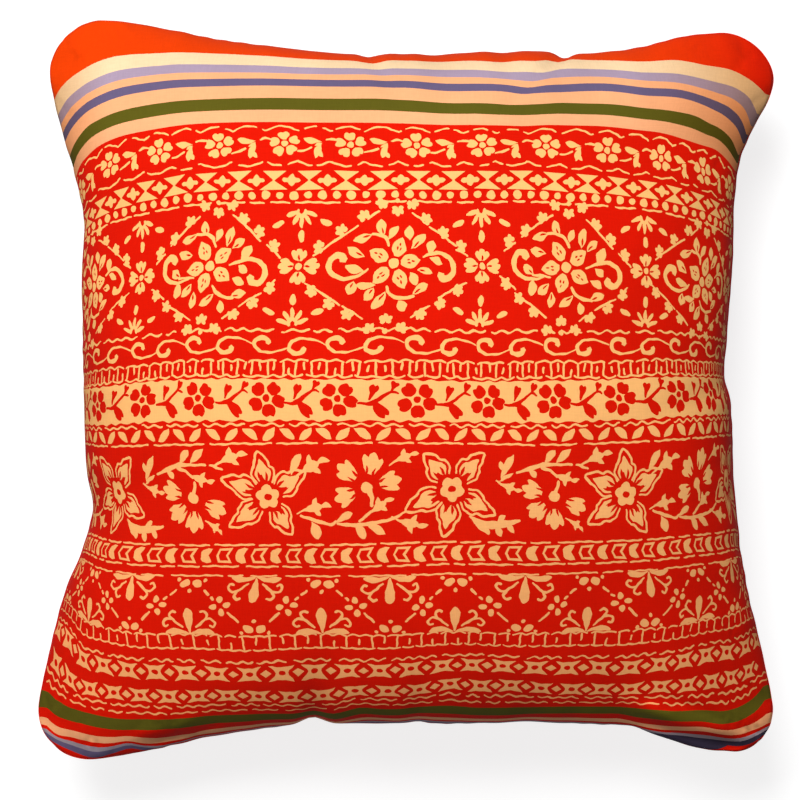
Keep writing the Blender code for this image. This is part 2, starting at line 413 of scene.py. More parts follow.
PLAIN_DYES = ("bright_red", "pale_yellow", "lilac", "peach", "slate", "olive", "grey_lilac")
STRIPES = [
    # The top margin is coloured a brighter, more orange red as painted light from above
    Stripe("bright_red", -20.0, 25.2),
    Stripe("pale_yellow", 25.2, 35.3),
    Stripe("lilac", 35.3, 41.8),
    Stripe("peach", 41.8, 46.8),
    Stripe("slate", 46.8, 52.4),
    Stripe("peach", 52.4, 61.4),
    Stripe("olive", 61.4, 69.4),
    Stripe("peach", 69.4, 77.4),
    Stripe("olive", 421.0, 428.6),
    Stripe("peach", 434.0, 438.2),
    Stripe("grey_lilac", 440.8, 443.4),
    Stripe("slate", 443.4, 447.2),
]

stripe_across = np.arange(-BAND_REACH - 14, BAND_REACH + 14.1, STRIPE_STEP)
for stripe in STRIPES:
    upper = stripe_across - 1j * stripe.top
    lower = stripe_across - 1j * stripe.bottom
    stamp(stripe.dye, np.concatenate([lower, upper[::-1]]))
# Painted shade: in the fold by the lower right corner the slate is stamped on down to the seam, standing
# for the shade under the fold
painted_shade_pocket = [124 - 446.4j, 150 - 446j, 180 - 445.6j, 205 - 445.2j, 214 - 446.2j, 203 - 450.6j, 178 - 452.8j,
        150 - 452.4j, 130 - 450j]
stamp("slate", smooth_line(painted_shade_pocket, 4, closed=True))

# The row of five-petalled flowers and leaf sprigs between two scalloped lines
HEART = [(0, 0.26), (0.2, 0.7), (0.52, 1.0), (0.84, 0.92), (1.0, 0.46), (0.88, 0)]

dashed_line(83.0, 1.15, 15, 2.4, wavelength=19.3, cusps=2.8)
dashed_line(101.4, 1.15, 15, 2.4, wavelength=19.3, cusps=-3.0)

flower = cream(disc(2.0))
for k in range(5):
    petal = mirrored(HEART, 5.4, 6.1, start=2.8) * turned(95 + 72 * k)
    flower += cream(1.08 * petal.real + 0.93j * petal.imag)
sprig = cream(
    leaf(10.8, 3.9, 0.6, 0.06, turn=172),
    leaf(9.8, 4.0, 0.6, -0.04, start=-0.6j, turn=-106),
    leaf(4.6, 2.6, 0.5, start=-1.6 - 6j, turn=-50),
    leaf(4.4, 1.7, 0.5, start=-0.3 - 0.8j, turn=-148),
    stem([2.4 + 0.9j, 5.4 + 1.7j, 9.0 + 1.0j], [1.0, 1.5, 1.1]),
    stem([-13.4 - 6.6j, -9.5 - 6.0j, -5.4 - 4.2j], [0.9, 1.3, 1.3]),
)
FLOWER_PITCH = 38.6
for across in repeats(FLOWER_PITCH, 6.6):
    print_motif(flower, at(across, 91.6))
    print_motif(sprig, at(across + 0.56 * FLOWER_PITCH, 89.8))

# The band of hourglasses and diamond flowers, with a row of dots below
hourglass = [7.0 + 5.2j, -7.0 + 5.2j, -0.7 + 0.4j, -0.7 - 0.3j, -8.4 - 5.2j, 8.4 - 5.2j, 0.7 - 0.3j,
             0.7 + 0.4j]
hourglass = cream(np.array(hourglass))
quarter = [5.6, 4.3 + 1.3j, 2.3 + 1.3j, 1.5 + 2.5j]
diamond_flower = quarter + [3.5j] + [-z.conjugate() for z in quarter[:0:-1]] + [-5.6]
diamond_flower += [-z for z in quarter[1:]] + [-3.5j] + [z.conjugate() for z in quarter[:0:-1]]
diamond_flower = smooth_line(diamond_flower, 2, closed=True)
BOW_TIE_PITCH = 20.5
for across in repeats(BOW_TIE_PITCH, -3.2):
    print_motif(cream(diamond_flower), at(across, 112.3), size=0.98)
    print_motif(hourglass, at(across + BOW_TIE_PITCH / 2, 112.4))
for k, across in enumerate(repeats(8.1, 1.5)):
    print_motif(cream(disc(2.7 if k % 2 else 2.25, 0.93)), at(across, 120.6 + rng.uniform(-0.3, 0.3)))
dashed_line(124.6, 1.2, 17, 2.6)

# The wide band of medallions in diamonds of leafy twigs
MEDALLION_PITCH = 103.0
MEDALLION_AT = -8.0
MEDALLION_DOWN = 159.3
PETAL = [(0, 0.3), (0.2, 0.78), (0.46, 1.0), (0.72, 0.7), (0.9, 0.3), (1.0, 0)]

# Leaves round the medallion: stalk end, heading, length, width, and whether a red slit is cut in
MedallionLeaf = namedtuple("MedallionLeaf", "start heading length width slit")

LEAVES = [MedallionLeaf(*row) for row in (
    (-11.6 + 16.8j, 197, 12.0, 4.8, True),
    (-5.9 + 15.6j, 99, 9.6, 6.0, True),
    (-3.0 + 13.6j, 52, 9.4, 4.3, False),
    (9.6 + 13.2j, 92, 8.2, 5.6, False),
    (10.2 + 8.2j, 45, 12.4, 5.4, True),
    (20.8 + 6.0j, 70, 8.2, 5.6, False),
    (21.0 + 4.2j, -24, 8.2, 4.2, False),
    (13.8 - 3.2j, -8, 8.8, 4.2, True),
    (9.6 - 4.8j, -62, 8.0, 5.4, False),
    (11.4 - 17.2j, 36, 11.0, 4.9, True),
    (3.4 - 20.8j, -58, 7.0, 5.8, False),
    (-3.6 - 15.8j, -127, 12.0, 5.6, True),
    (-9.2 - 11.8j, 181, 11.2, 4.2, False),
    (-10.4 - 13.4j, -122, 8.6, 5.4, True),
    (-21.6 - 9.4j, -106, 8.0, 6.2, True),
    (-16.0 - 4.0j, 163, 11.4, 5.0, False),
    (-16.4 + 3.8j, 147, 11.2, 5.4, True),
)]
OTHER_LEAVES = [MedallionLeaf(*row) for row in (
    (-10.8 + 17.9j, 200, 10.8, 4.7, True),
    (-4.3 + 16.6j, 108, 9.0, 5.2, True),
    (2.2 + 13.6j, 68, 7.8, 4.3, False),
    (9.5 + 10.8j, 78, 11.6, 5.2, True),
    (12.9 + 9.7j, 41, 9.0, 4.7, True),
    (19.4 + 2.2j, 64, 11.2, 5.6, False),
    (17.7 + 0.8j, -38, 6.9, 4.7, False),
    (14.9 - 6.5j, -27, 8.2, 4.7, False),
    (15.0 - 17.6j, 20, 9.5, 5.2, True),
    (8.8 - 19.4j, -82, 7.3, 4.7, False),
    (4.7 - 15.7j, 218, 11.2, 4.7, True),
    (-8.6 - 14.4j, 262, 9.5, 4.7, True),
    (-10.8 - 9.7j, 226, 9.5, 5.2, True),
    (-20.7 - 8.0j, 265, 9.5, 5.6, False),
    (-20.0 - 5.4j, 140, 8.2, 5.2, True),
    (-12.5 + 6.5j, 170, 9.9, 5.2, True),
)]
HOOK_WIDTHS = [1.0, 1.7, 2.3, 2.8, 3.1, 3.4, 4.2, 4.3]
STALKS = [
    stem([17.2 + 4.0j, 22 + 6.3j, 28.4 + 6.9j, 33.8 + 3.6j, 35.4 - 1.8j, 33 - 6.3j, 28.8 - 7.0j,
          27.4 - 5.0j],
         HOOK_WIDTHS),
    stem([-14 - 3.0j, -19 - 6.4j, -27 - 8.1j, -34 - 4.6j, -35.8 + 0.6j, -32.6 + 4.8j, -28.8 + 4.8j,
          -27.6 + 2.6j],
         HOOK_WIDTHS),
    stem([-3.1 + 10.0j, -3.9 + 13.8j, -7 + 15.8j, -12 + 16.8j], [1.3, 2.1, 1.7, 1.5]),
    stem([-3.4 - 12.8j, -1.2 - 17.4j, 4.6 - 19.5j, 12 - 18.2j], [1.3, 2.0, 2.0, 1.7]),
]
OTHER_STALKS = [
    stem([12.3 + 0.6j, 17.7 + 2.8j, 25.2 + 4.7j, 31.7 + 2.2j, 33.8 - 3.2j, 31.0 - 8.4j, 26.6 - 8.0j,
          25.6 - 5.4j],
         HOOK_WIDTHS),
    stem([-13.6 - 6.5j, -20 - 8.0j, -26.5 - 7.1j, -31.5 - 3.2j, -32.3 + 2.2j, -29.7 + 6.3j, -25.8 + 6.0j,
          -25.0 + 3.9j],
         HOOK_WIDTHS),
    stem([2.2 + 10.8j, -0.6 + 15.7j, -5 + 17.7j, -11.4 + 17.7j], [1.3, 2.1, 1.7, 1.5]),
    stem([3.2 - 11.2j, 6.2 - 15.1j, 11.2 - 17.5j, 16.6 - 17.9j], [1.3, 2.0, 2.0, 1.7]),
    stem([-10 - 6.4j, -15 - 5.8j, -21 - 5.8j], [1.0, 1.6, 1.2]),
]


def medallion(headings, leaves, stalks):
    """A flower with slits in its petals, within a wreath of leaves and two hooked stalks."""
    parts = cream(disc(3.0))
    for heading in headings:
        parts += cream(mirrored(PETAL, 11.5, 8.4, start=4.2, bend=0.03) * turned(heading))
        for along, side in ((7.6, -0.9), (7.6, 0.9), (10.4, 0)):
            parts.append(("red", leaf(2.3, 1.0, start=along + 1j * side) * turned(heading)))
    for row in leaves:
        parts += cream(leaf(row.length, row.width, 0.56, 0.05, row.start, row.heading))
        if row.slit:
            slit_start = row.start + 0.12 * row.length * turned(row.heading)
            parts.append(("red", leaf(0.42 * row.length, 1.1, 0.5, 0.0, slit_start, row.heading)))
    return parts + cream(*stalks)


MEDALLIONS = [medallion((70, 8, -66, 224, 150), LEAVES, STALKS),
              medallion((119, 38, -31, 253, 187), OTHER_LEAVES, OTHER_STALKS)]


def leaf_head(base, heading):
    """A small leaf of five round lobes, spread from the end of its stalk."""
    lobes = ((-98, 3.2, 2.6), (-50, 4.3, 2.8), (0, 4.6, 2.9), (50, 4.3, 2.8), (98, 3.2, 2.6))
    return [("cream", oval(length, width, base, heading + spread)) for spread, length, width in lobes]


# Twigs along the diamond's four sides: where the stalk runs, and the leaf heads that grow from it
Twig = namedtuple("Twig", "stalk_from stalk_to heads")

TWIGS = [
    Twig(-44.0 + 5.4j, -19.6 + 21.4j, (-41.3 + 10.4j, -29.4 + 19.4j)),
    Twig(-14.2 + 24.8j, -7.7 + 29.4j, (-16.7 + 27.4j,)),
    Twig(10.9 + 28.2j, 18.5 + 23.0j, (19.6 + 25.7j,)),
    Twig(21.0 + 21.0j, 36.6 + 10.8j, (29.8 + 18.3j,)),
    Twig(36.6 + 8.8j, 43.4 + 5.8j, (40.0 + 11.0j,)),
    Twig(42.7 - 8.8j, 25.7 - 18.3j, (37.9 - 13.5j, 27.4 - 21.3j)),
    Twig(21.0 - 22.6j, 10.2 - 29.8j, (16.0 - 28.0j,)),
    Twig(-47.4 - 9.5j, -27.8 - 22.3j, (-44.0 - 14.2j, -33.9 - 21.7j)),
    Twig(-26.4 - 23.0j, -15.3 - 30.5j, (-23.7 - 28.0j,)),
]
OTHER_TWIGS = [
    Twig(-38.3 + 6.5j, -31.5 + 11.2j, (-35.6 + 12.2j,)),
    Twig(-27.5 + 14.6j, -8.5 + 27.9j, (-25.5 + 18.4j, -15.0 + 26.1j)),
    Twig(12.5 + 27.5j, 29.4 + 12.6j, (19.2 + 25.5j, 28.7 + 18.0j)),
    Twig(32.8 + 10.6j, 40.9 + 3.8j, (37.5 + 10.2j,)),
    Twig(38.6 - 8.4j, 33.6 - 15.0j, (36.2 - 13.1j,)),
    Twig(31.4 - 15.8j, 18.6 - 23.3j, (27.0 - 21.7j,)),
    Twig(17.2 - 25.3j, 9.1 - 30.0j, (15.8 - 28.0j,)),
    Twig(-41.0 - 7.0j, -30.9 - 14.5j, (-37.6 - 11.4j,)),
    Twig(-31.5 - 16.5j, -11.2 - 29.4j, (-28.8 - 19.5j, -19.4 - 26.7j)),
]


def diamond(twigs):
    """The twigs round one medallion, with their leaf heads on the outer side."""
    parts = []
    for twig in twigs:
        bow = (twig.stalk_from + twig.stalk_to) / 2 + 0.4j
        parts += cream(stem([twig.stalk_from, bow, twig.stalk_to], [0.9, 1.3, 1.0]))
        for head in twig.heads:
            outwards = math.degrees(np.angle(head))
            parts += leaf_head(head - 1.6 * turned(outwards), outwards)
    return parts


DIAMONDS = [diamond(TWIGS), diamond(OTHER_TWIGS)]


def bud_cluster(up, reach):
    """Three lobed buds round a dot, where a diamond's point meets the band's edge."""
    parts = cream(disc(1.5))
    buds = ((-8.4 + 0.6j * up, 112 * up), (8.4 + 0.6j * up, 66 * up), (0.2 + 1j * reach * up, 90 * up))
    for base, heading in buds:
        parts += leaf_head(base, heading)
    return parts


CROWN_PETAL = [(0, 0.3), (0.2, 0.66), (0.5, 1.0), (0.8, 0.96), (0.86, 0.66), (0.76, 0.44), (0.96, 0.3),
               (1.02, 0)]
small_flower = cream(disc(1.9))
for heading, length in ((0, 8.2), (90, 6.4), (180, 8.2), (270, 7.0)):
    small_flower += cream(mirrored(CROWN_PETAL, length, 8.4, start=2.9) * turned(heading))
    small_flower.append(("red", leaf(3.4, 1.3, start=2.8) * turned(heading)))

# A fan hangs from the band's edge or stands on it, with three loose drops
fan = cream(stem([-2.0 + 1.4j, -1.9 - 0.7j, -2.1j, 2.0 - 0.7j, 2.2 + 1.4j], [1.6, 2.2, 2.4, 2.2, 1.6]))
for start, heading, length, width in (
    (-1.4 + 0.8j, -160, 7.8, 2.5),
    (-1.6 - 1.2j, -122, 6.4, 2.3),
    (-1.2j, -90, 7.2, 2.4),
    (1.8 - 1.2j, -57, 6.4, 2.5),
    (1.6 + 0.8j, -21, 7.6, 2.5),
    (-10.0 - 4.8j, -154, 7.2, 3.1),
    (10.4 - 4.3j, -22, 7.0, 3.2),
    (0.1 - 9.6j, -90, 6.4, 3.5),
):
    fan += cream(oval(length, width, start, heading))

for count, across in enumerate(repeats(MEDALLION_PITCH, MEDALLION_AT)):
    place = at(across, MEDALLION_DOWN)
    print_motif(MEDALLIONS[count % 2], place)
    print_motif(DIAMONDS[count % 2], place)
    print_motif(bud_cluster(-1, 4.4), place + 2.8 + 35.0j)
    print_motif(bud_cluster(1, 5.6), place - 3.2 - 37.0j)
    side = place + MEDALLION_PITCH / 2
    print_motif(small_flower, side + 0.2 + 0.2j)
    print_motif(fan, side + 0.6 + 29.2j)
    print_motif(fan, side - 1.4 - 31.6j, upright=False)
dashed_line(195.4, 1.25, 22, 2.4, wave=0.8, wavelength=9.0)

# The running scroll and the chain of loose links below it
SCROLL_PITCH = 41.0
curl = [8.0 + 1.2j, 7.4 + 3.2j, 4.3 + 4.2j, 1.2 + 3.2j, 0.8j, 1.3 - 2.0j, 5.0 - 3.9j, 10 - 4.1j,
        15.4 - 3.0j, 20.2 - 1.0j]
curl = cream(stem(curl, [3.0, 2.8, 2.6, 2.4, 2.2, 1.9, 1.5, 1.3, 1.0, 0.7]))
for across in repeats(SCROLL_PITCH, 0.4):
    print_motif(curl, at(across, 203.8))
    print_motif(curl, at(across + SCROLL_PITCH / 2 - 0.8, 203.8), upright=False)

CHAIN_TOP = 213.2
CHAIN_BOTTOM = 220.2


def link_rail(down, arch, link, width, wander):
    """One side of a chain or ladder: short arches, broken here and there."""
    start = -BAND_REACH
    while start < BAND_REACH:
        length = link * rng.integers(1, 4)
        across = np.arange(start, start + length + 0.1, 1.3)
        height = arch * np.abs(np.sin(np.pi * (across - start) / link)) + wander * np.sin(across / 11.0)
        stamp("cream", ribbon(across + 1j * (height - down), [0.8 * width, width, 0.9 * width]))
        start += length + rng.uniform(0.9, 1.6)


def link_bars(top, bottom, pitch, width):
    """Uprights between two rails: whole, short from either rail, or loose in the middle."""
    height = bottom - top
    for k, across in enumerate(repeats(pitch, 2.0)):
        across += rng.uniform(-0.6, 0.6)
        short = ((0.0, 0.6), (0.0, 0.66), (0.3, 0.74), (0.48, 1.0))[rng.integers(0, 4)]
        high, low = short if k % 2 else (-0.02, 1.02)
        lean = rng.uniform(-0.7, 0.7)
        line = np.linspace(at(across, top + high * height), at(across + lean, top + low * height), 4)
        stamp("cream", ribbon(line, [0.9 * width, width, 0.85 * width]))


link_rail(CHAIN_TOP, 1.3, 8.4, 1.2, 0.3)
link_rail(CHAIN_BOTTOM, -1.3, 8.4, 1.2, 0.3)
link_bars(CHAIN_TOP, CHAIN_BOTTOM, 4.2, 1.3)

# The cream band with red flowers and sprigs, and the wavy edges it is cut with
CREAM_TOP = 222.8
CREAM_BOTTOM = 245.4
band_across = np.arange(-BAND_REACH, BAND_REACH + 0.1, 1.5)
edge_wave = 0.55 * np.sin(2 * np.pi * band_across / 10.2 + 0.9 * np.sin(band_across / 9.0))
stamp("cream", np.concatenate([band_across + 1j * (edge_wave - CREAM_BOTTOM),
                               (band_across + 1j * (0.7 * np.roll(edge_wave, 2) - CREAM_TOP))[::-1]]))

ROUND_HEART = [(0, 0.34), (0.18, 0.8), (0.45, 1.0), (0.75, 0.94), (0.98, 0.5), (0.9, 0)]
red_flower = [("red", disc(2.1))]
for heading, start, length, width in (
    (56, 3.0, 7.0, 7.8),
    (-8, 3.4, 7.6, 7.0),
    (-78, 3.2, 7.0, 7.8),
    (214, 3.4, 7.4, 7.2),
    (140, 3.0, 7.4, 7.4),
):
    red_flower.append(("red", mirrored(ROUND_HEART, length, width, start) * turned(heading)))
TRUMPET = [(0, 0.2), (0.4, 0.5), (0.7, 0.96), (0.9, 0.96), (1.0, 0.5), (0.92, 0)]
red_sprig = [
    ("red", mirrored(TRUMPET, 8.6, 4.6) * turned(73) - 2.3 + 0.8j),
    ("red", stem([-8.0 - 1.0j, -3.4 - 1.3j, 1.4 - 0.9j], [1.2, 1.9, 2.5])),
    ("red", stem([-3.2 - 1.1j, 0.6 + 0.2j, 4.7 + 3.2j, 8.2 + 5.8j], [1.8, 2.2, 1.8, 1.4])),
    ("red", mirrored(TRUMPET, 6.4, 4.0) * turned(66) + 7.7 + 5.0j),
    ("red", stem([7.8 + 5.4j, 9.6 + 5.4j, 11.4 + 4.4j], [1.2, 1.5, 1.0])),
    ("red", mirrored(HEART, 9.8, 6.0) * turned(-48) - 0.4 - 0.8j),
]
RED_FLOWER_PITCH = 40.2
for across in repeats(RED_FLOWER_PITCH, 6.6):
    print_motif(red_flower, at(across, 233.4), turn=rng.uniform(-14, 10))
    print_motif(red_sprig, at(across + 0.46 * RED_FLOWER_PITCH, 234.8))

# Zigzag leaves between a wavy line and a plain one
dashed_line(247.6, 1.1, 24, 2.4, wave=0.75, wavelength=8.2)
LEAF_PITCH = 21.2
for across in repeats(LEAF_PITCH, -0.6):
    print_motif(cream(leaf(10.2, 4.6, 0.5, 0.05, start=-5.1)), at(across, 252.6), turn=-37)
    rising = cream(leaf(10.2, 4.4, 0.5, -0.05, start=-5.1))
    print_motif(rising, at(across + LEAF_PITCH / 2, 252.5), turn=40)
dashed_line(257.6, 1.15, 30, 2.6)

# The deep band of star flowers and carnations, joined by branches with leaves
STAR_EDGE = [7.8 - 4.6j, 11.4 - 7.3j, 15.4 - 7.3j, 17.4 - 5.2j, 21.0 - 4.3j, 25.4 + 0.4j, 21.6 + 3.2j,
             18.0 + 4.4j, 16.0 + 6.2j, 12.0 + 7.2j, 8.0 + 5.0j]
STAR_PETAL = [8.6 - 1.4j, 9.4 - 3.4j, 12.4 - 5.2j, 15.4 - 4.9j, 17.2 - 2.8j, 21.4 + 0.2j, 17.8 + 2.4j,
              15.4 + 4.2j, 12.0 + 5.0j, 8.8 + 3.4j, 11.6 + 2.4j, 12.6 + 1.0j, 10.6 + 0.2j]
CARNATION_PETAL = [(0, 0.4), (0.24, 0.66), (0.5, 0.94), (0.76, 1.0), (0.88, 0.84), (0.78, 0.5),
                   (0.93, 0.38), (1.06, 0.14), (1.08, 0)]


def star_flower(petals):
    """Five pointed petals, each a notched cream petal inside a cream line, round a lobed middle."""
    parts = []
    for count, (heading, reach) in enumerate(petals):
        lines = (smooth_line(STAR_EDGE, 4), smooth_line(STAR_PETAL, 3, closed=True))
        edge, petal = (line.real + 0.9j * line.imag + (line.real - 8) * (reach - 1) for line in lines)
        if count % 2:
            edge, petal = edge.conj(), petal.conj()
        parts += cream(ribbon(edge * turned(heading), [1.0, 1.3, 1.4, 1.3, 1.0]), petal * turned(heading))
        for start, turn in ((8.2 + 1.5j, 12), (8.0 - 1.3j, -8)):
            parts.append(("red", leaf(6.2, 1.7, 0.4, start=start, turn=turn) * turned(heading)))
    turn = np.linspace(0, 2 * math.pi, 40, endpoint=False)
    lobes = 0.8 + 0.28 * np.abs(np.cos(2.5 * (turn - math.radians(petals[0][0]))))
    return parts + cream(6.5 * lobes * np.exp(1j * turn)) + [("red", disc(2.3, 0.85))]


def carnation(headings):
    """Toothed petals in a fan round a drop-shaped middle."""
    parts = cream(disc(3.2))
    for heading in headings:
        parts += cream(mirrored(CARNATION_PETAL, 11.6, 11.0, start=7.6) * turned(heading))
        for side in (-1, 1):
            slit = leaf(5.4, 1.5, 0.3, start=6.8 + 1.5j * side, turn=9 * side)
            parts.append(("red", slit * turned(heading)))
    return parts


def lobed_leaf(length, start, heading, flip=1):
    """A long leaf with side lobes, like a small bird in flight."""
    way = turned(heading)
    parts = cream(leaf(0.7 * length, 0.3 * length, 0.6, 0.03 * flip, start, heading))
    for share, width, fullest, bend, along, aside in (
        (0.5, 0.17, 0.6, 0.14, 0.52, -8),
        (0.38, 0.19, 0.45, 0, 0.34, 62),
        (0.34, 0.17, 0.45, 0, 0.4, -58),
    ):
        foot = start + along * length * way
        turn = heading + aside * flip
        parts += cream(leaf(share * length, width * length, fullest, bend * flip, foot, turn))
    foot = start - 0.25 * length * turned(heading + 14 * flip)
    return parts + cream(stem([foot, start, start + 0.2 * length * way], [0.8, 1.3, 2.0]))


top_branch = cream(
    stem([-22.4 + 13.6j, -15 + 15.7j, -5.8 + 18.2j, 2.0 + 17.9j, 11.2 + 17.6j],
         [1.1, 2.4, 2.6, 1.5, 1.3]),
    stem([-7.2 + 16.6j, -1.8 + 14.6j, 2.2 + 11.2j], [2.2, 1.7, 1.5]),
    stem([3.0 + 8.8j, 2.3 + 6.0j, 0.8 + 2.0j], [1.3, 1.7, 2.2]),
    stem([13.4 + 17.4j, 16.8 + 16.2j, 20.2 + 14.6j], [1.1, 1.6, 1.2]),
)
top_branch += leaves((
    (-5.2 + 18.8j, 47, 10.0, 4.4),
    (1.8 + 18.6j, 40, 11.6, 4.6),
    (-14.8 + 15.8j, -48, 6.4, 3.6),
    (-31.8 + 9.6j, 60, 16.4, 4.4),
    (-29.8 + 13.4j, 108, 7.0, 3.2),
    (-33.0 + 8.0j, 30, 10.0, 2.4),
))
top_branch += lobed_leaf(14.0, 1.4 + 12.0j, -16, flip=-1)
top_branch += lobed_leaf(13.0, -31.6 + 7.0j, -18, flip=-1)
top_branch += lobed_leaf(17.0, 19.2 + 18.6j, 16)
top_branch += lobed_leaf(10.4, 7.6 - 14.6j, -42)

low_branch = cream(
    stem([-40.2 - 13.4j, -33.2 - 15.7j, -26 - 18j, -21.6 - 18.8j, -18.6 - 17.2j],
         [1.2, 2.0, 1.7, 1.7, 1.3]),
    stem([-18.4 - 18.6j, -7.4 - 19.9j, 2.0 - 19.2j, 13.4 - 17.6j, 21.8 - 13.6j],
         [1.4, 2.2, 2.0, 1.6, 1.3]),
    stem([-5.4 - 18.2j, -2.0 - 15.6j, 1.6 - 13.0j], [1.2, 2.0, 1.6]),
    stem([0.9 - 1.4j, 2.4 - 5.2j, 2.3 - 10.0j], [4.2, 2.6, 1.8]),
)
low_branch += leaves((
    (-19.4 - 18.0j, 25, 11.6, 4.2),
    (-33.6 - 17.0j, -66, 10.6, 6.2),
    (-7.6 - 19.6j, -56, 9.6, 5.2),
    (-1.2 - 19.4j, -31, 12.4, 4.8),
    (-43.6 + 8.8j, 54, 14.0, 4.8),
))
low_branch += lobed_leaf(15.0, 1.6 - 13.4j, 30)
low_branch += lobed_leaf(17.0, -38.6 - 10.6j, 8)
low_branch += lobed_leaf(19.0, -37.6 + 9.8j, 22)
low_branch += lobed_leaf(17.0, 17.4 - 18.4j, -14, flip=-1)
low_branch += lobed_leaf(14.0, 16.4 + 14.0j, 20)

long_spray = cream(
    stem([9.8 - 15.5j, 15 - 19.0j, 22 - 20.6j, 30 - 19.8j, 38.6 - 17.8j], [1.2, 3.2, 4.6, 4.0, 1.4])
)
long_spray += leaves((
    (10.4 - 15.8j, -50, 12.0, 3.4),
    (17.0 - 20.0j, -62, 7.0, 3.4),
    (24.0 - 20.6j, -64, 7.6, 3.8),
    (30.6 - 19.8j, -52, 6.6, 3.4),
    (25.6 - 19.4j, 42, 6.6, 3.4),
), 0.55)

STAR_PITCH = 209.5
STAR_DOWN = 285.0
LOW_STAR = star_flower(((92, 0.98), (28, 1.16), (-57, 1.05), (216, 1.18), (155, 1.06)))
HIGH_STAR = star_flower(((128, 0.98), (49, 1.06), (-31, 1.12), (259, 1.07), (203, 1.18)))
for across in repeats(STAR_PITCH, -81.0, reach=310):
    print_motif(LOW_STAR, at(across, STAR_DOWN + 1.2))
    print_motif(carnation((142, 76, 16, 201)), at(across + 59.4, STAR_DOWN - 2.6))
    print_motif(low_branch, at(across + 59.4, STAR_DOWN - 2.6))
for across in repeats(STAR_PITCH, 27.0, reach=310):
    print_motif(HIGH_STAR, at(across, STAR_DOWN - 1.6))
    print_motif(carnation((163, 216, 264, -27)), at(across + 59.3, STAR_DOWN + 1.0))
    print_motif(top_branch, at(across + 59.3, STAR_DOWN + 1.0))
    print_motif(long_spray, at(across, STAR_DOWN - 1.6))

# Chevrons, filled and in outline by turns, between two dashed lines
dashed_line(313.2, 1.2, 18, 2.4)
chevron = [-3.9, -2.4 + 3.5j, 3.3 + 4.2j, 0.9 + 0.1j, 3.2 - 4.1j, -2.4 - 3.7j]
chevron = cream(smooth_line(np.array(chevron)[::-1], 2, closed=True))
hollow = np.array([-4.0, -2.4 + 2.8j, 2.6 + 3.2j, 0.4 + 0.1j, 2.6 - 3.1j, -2.4 - 2.8j])[::-1]
hexagon = np.array([-5.4, -3.2 + 4.0j, 5.0 + 4.4j, 1.9 + 0.1j, 5.0 - 4.3j, -3.2 - 4.0j])[::-1]
CHEVRON_PITCH = 20.9
for across in repeats(CHEVRON_PITCH, 8.6):
    print_motif(chevron, at(across, 319.4))
    print_motif(cream(hexagon) + [("red", hollow)], at(across + CHEVRON_PITCH / 2, 319.4))
dashed_line(325.8, 1.2, 18, 2.4)

# The lattice of dashes and dots with fleurs that hang from its top line or stand on the ladder
LATTICE_TOP = 331.4
LADDER_TOP = 368.3
LADDER_BOTTOM = 375.6
LATTICE_PITCH = 75.8
HANGING_AT = -8.8
DROP = [(0, 0.14), (0.25, 0.5), (0.55, 0.96), (0.78, 1.0), (0.94, 0.6), (1.0, 0)]

dashed_line(LATTICE_TOP, 1.1, 24, 3.0)
fleur = cream(mirrored(DROP, 15.6, 5.6) * turned(-91) - 1.0j)
wing = [0.6 - 0.6j, 6.0 - 0.9j, 11.0 - 0.4j, 15.0 - 1.0j, 11.6 - 3.8j, 6.4 - 3.7j, 2.4 - 2.2j]
wing = smooth_line(wing, 3, closed=True)
for side in (1, -1):
    fleur += cream(wing if side > 0 else -wing.conj())
    for knots, widths in (
        ([4.0 - 4.6j, 7.0 - 7.0j, 10.2 - 9.8j], [1.0, 1.5, 1.5]),
        ([9.8 - 9.6j, 13.2 - 10.0j, 15.8 - 7.8j, 14.8 - 5.4j, 12.8 - 6.0j], [1.5, 1.4, 1.5, 1.4, 1.3]),
        ([10.2 - 9.8j, 11.6 - 12.4j, 9.8 - 14.6j, 7.6 - 13.8j], [1.5, 1.5, 1.6, 1.4]),
    ):
        tendril = smooth_line(knots, 4)
        fleur += cream(ribbon(tendril if side > 0 else -tendril.conj(), widths))
four_dots = cream(*(oval(4.5, 3.5, 1.7 * turned(k * 90 + 8), k * 90 + 8) for k in range(4)))
oval_pair = []
for side in (1, -1):
    oval_pair += cream(oval(6.2, 4.6, 0.9 * side - 1.2j, -90 + 62 * side), disc(1.2) + 7.9 * side - 0.4j)
oval_pair += cream(disc(1.3) - 7.4j)
# The lattice's dashes between four dots and the motifs round them: from where, and to where
DASHES = ((4.2 + 3.8j, 5.8 + 5.2j), (7.6 + 6.8j, 10.6 + 9.6j), (-4.4 - 4.0j, -10.0 - 9.2j))

for across in repeats(LATTICE_PITCH, HANGING_AT):
    print_motif(fleur, at(across, LATTICE_TOP))
    print_motif(fleur, at(across + LATTICE_PITCH / 2, LADDER_TOP - 0.6), upright=False)
    print_motif(oval_pair, at(across + LATTICE_PITCH / 2, LATTICE_TOP + 2.2))
    print_motif(oval_pair, at(across, LADDER_TOP - 2.2), upright=False)
    for side in (1, -1):
        dots_place = at(across + side * LATTICE_PITCH / 4, LATTICE_TOP + 18.6)
        print_motif(four_dots, dots_place)
        for start, finish in DASHES:
            dash = np.linspace(start, finish, 4)
            stamp("cream", ribbon(dots_place + (dash if side > 0 else -dash.conj()), [1.3, 1.6, 1.4]))

link_rail(LADDER_TOP, 1.1, 7.2, 1.15, 0.2)
link_rail(LADDER_BOTTOM, -0.9, 6.6, 1.1, 0.2)
link_bars(LADDER_TOP, LADDER_BOTTOM, 7.2, 1.2)

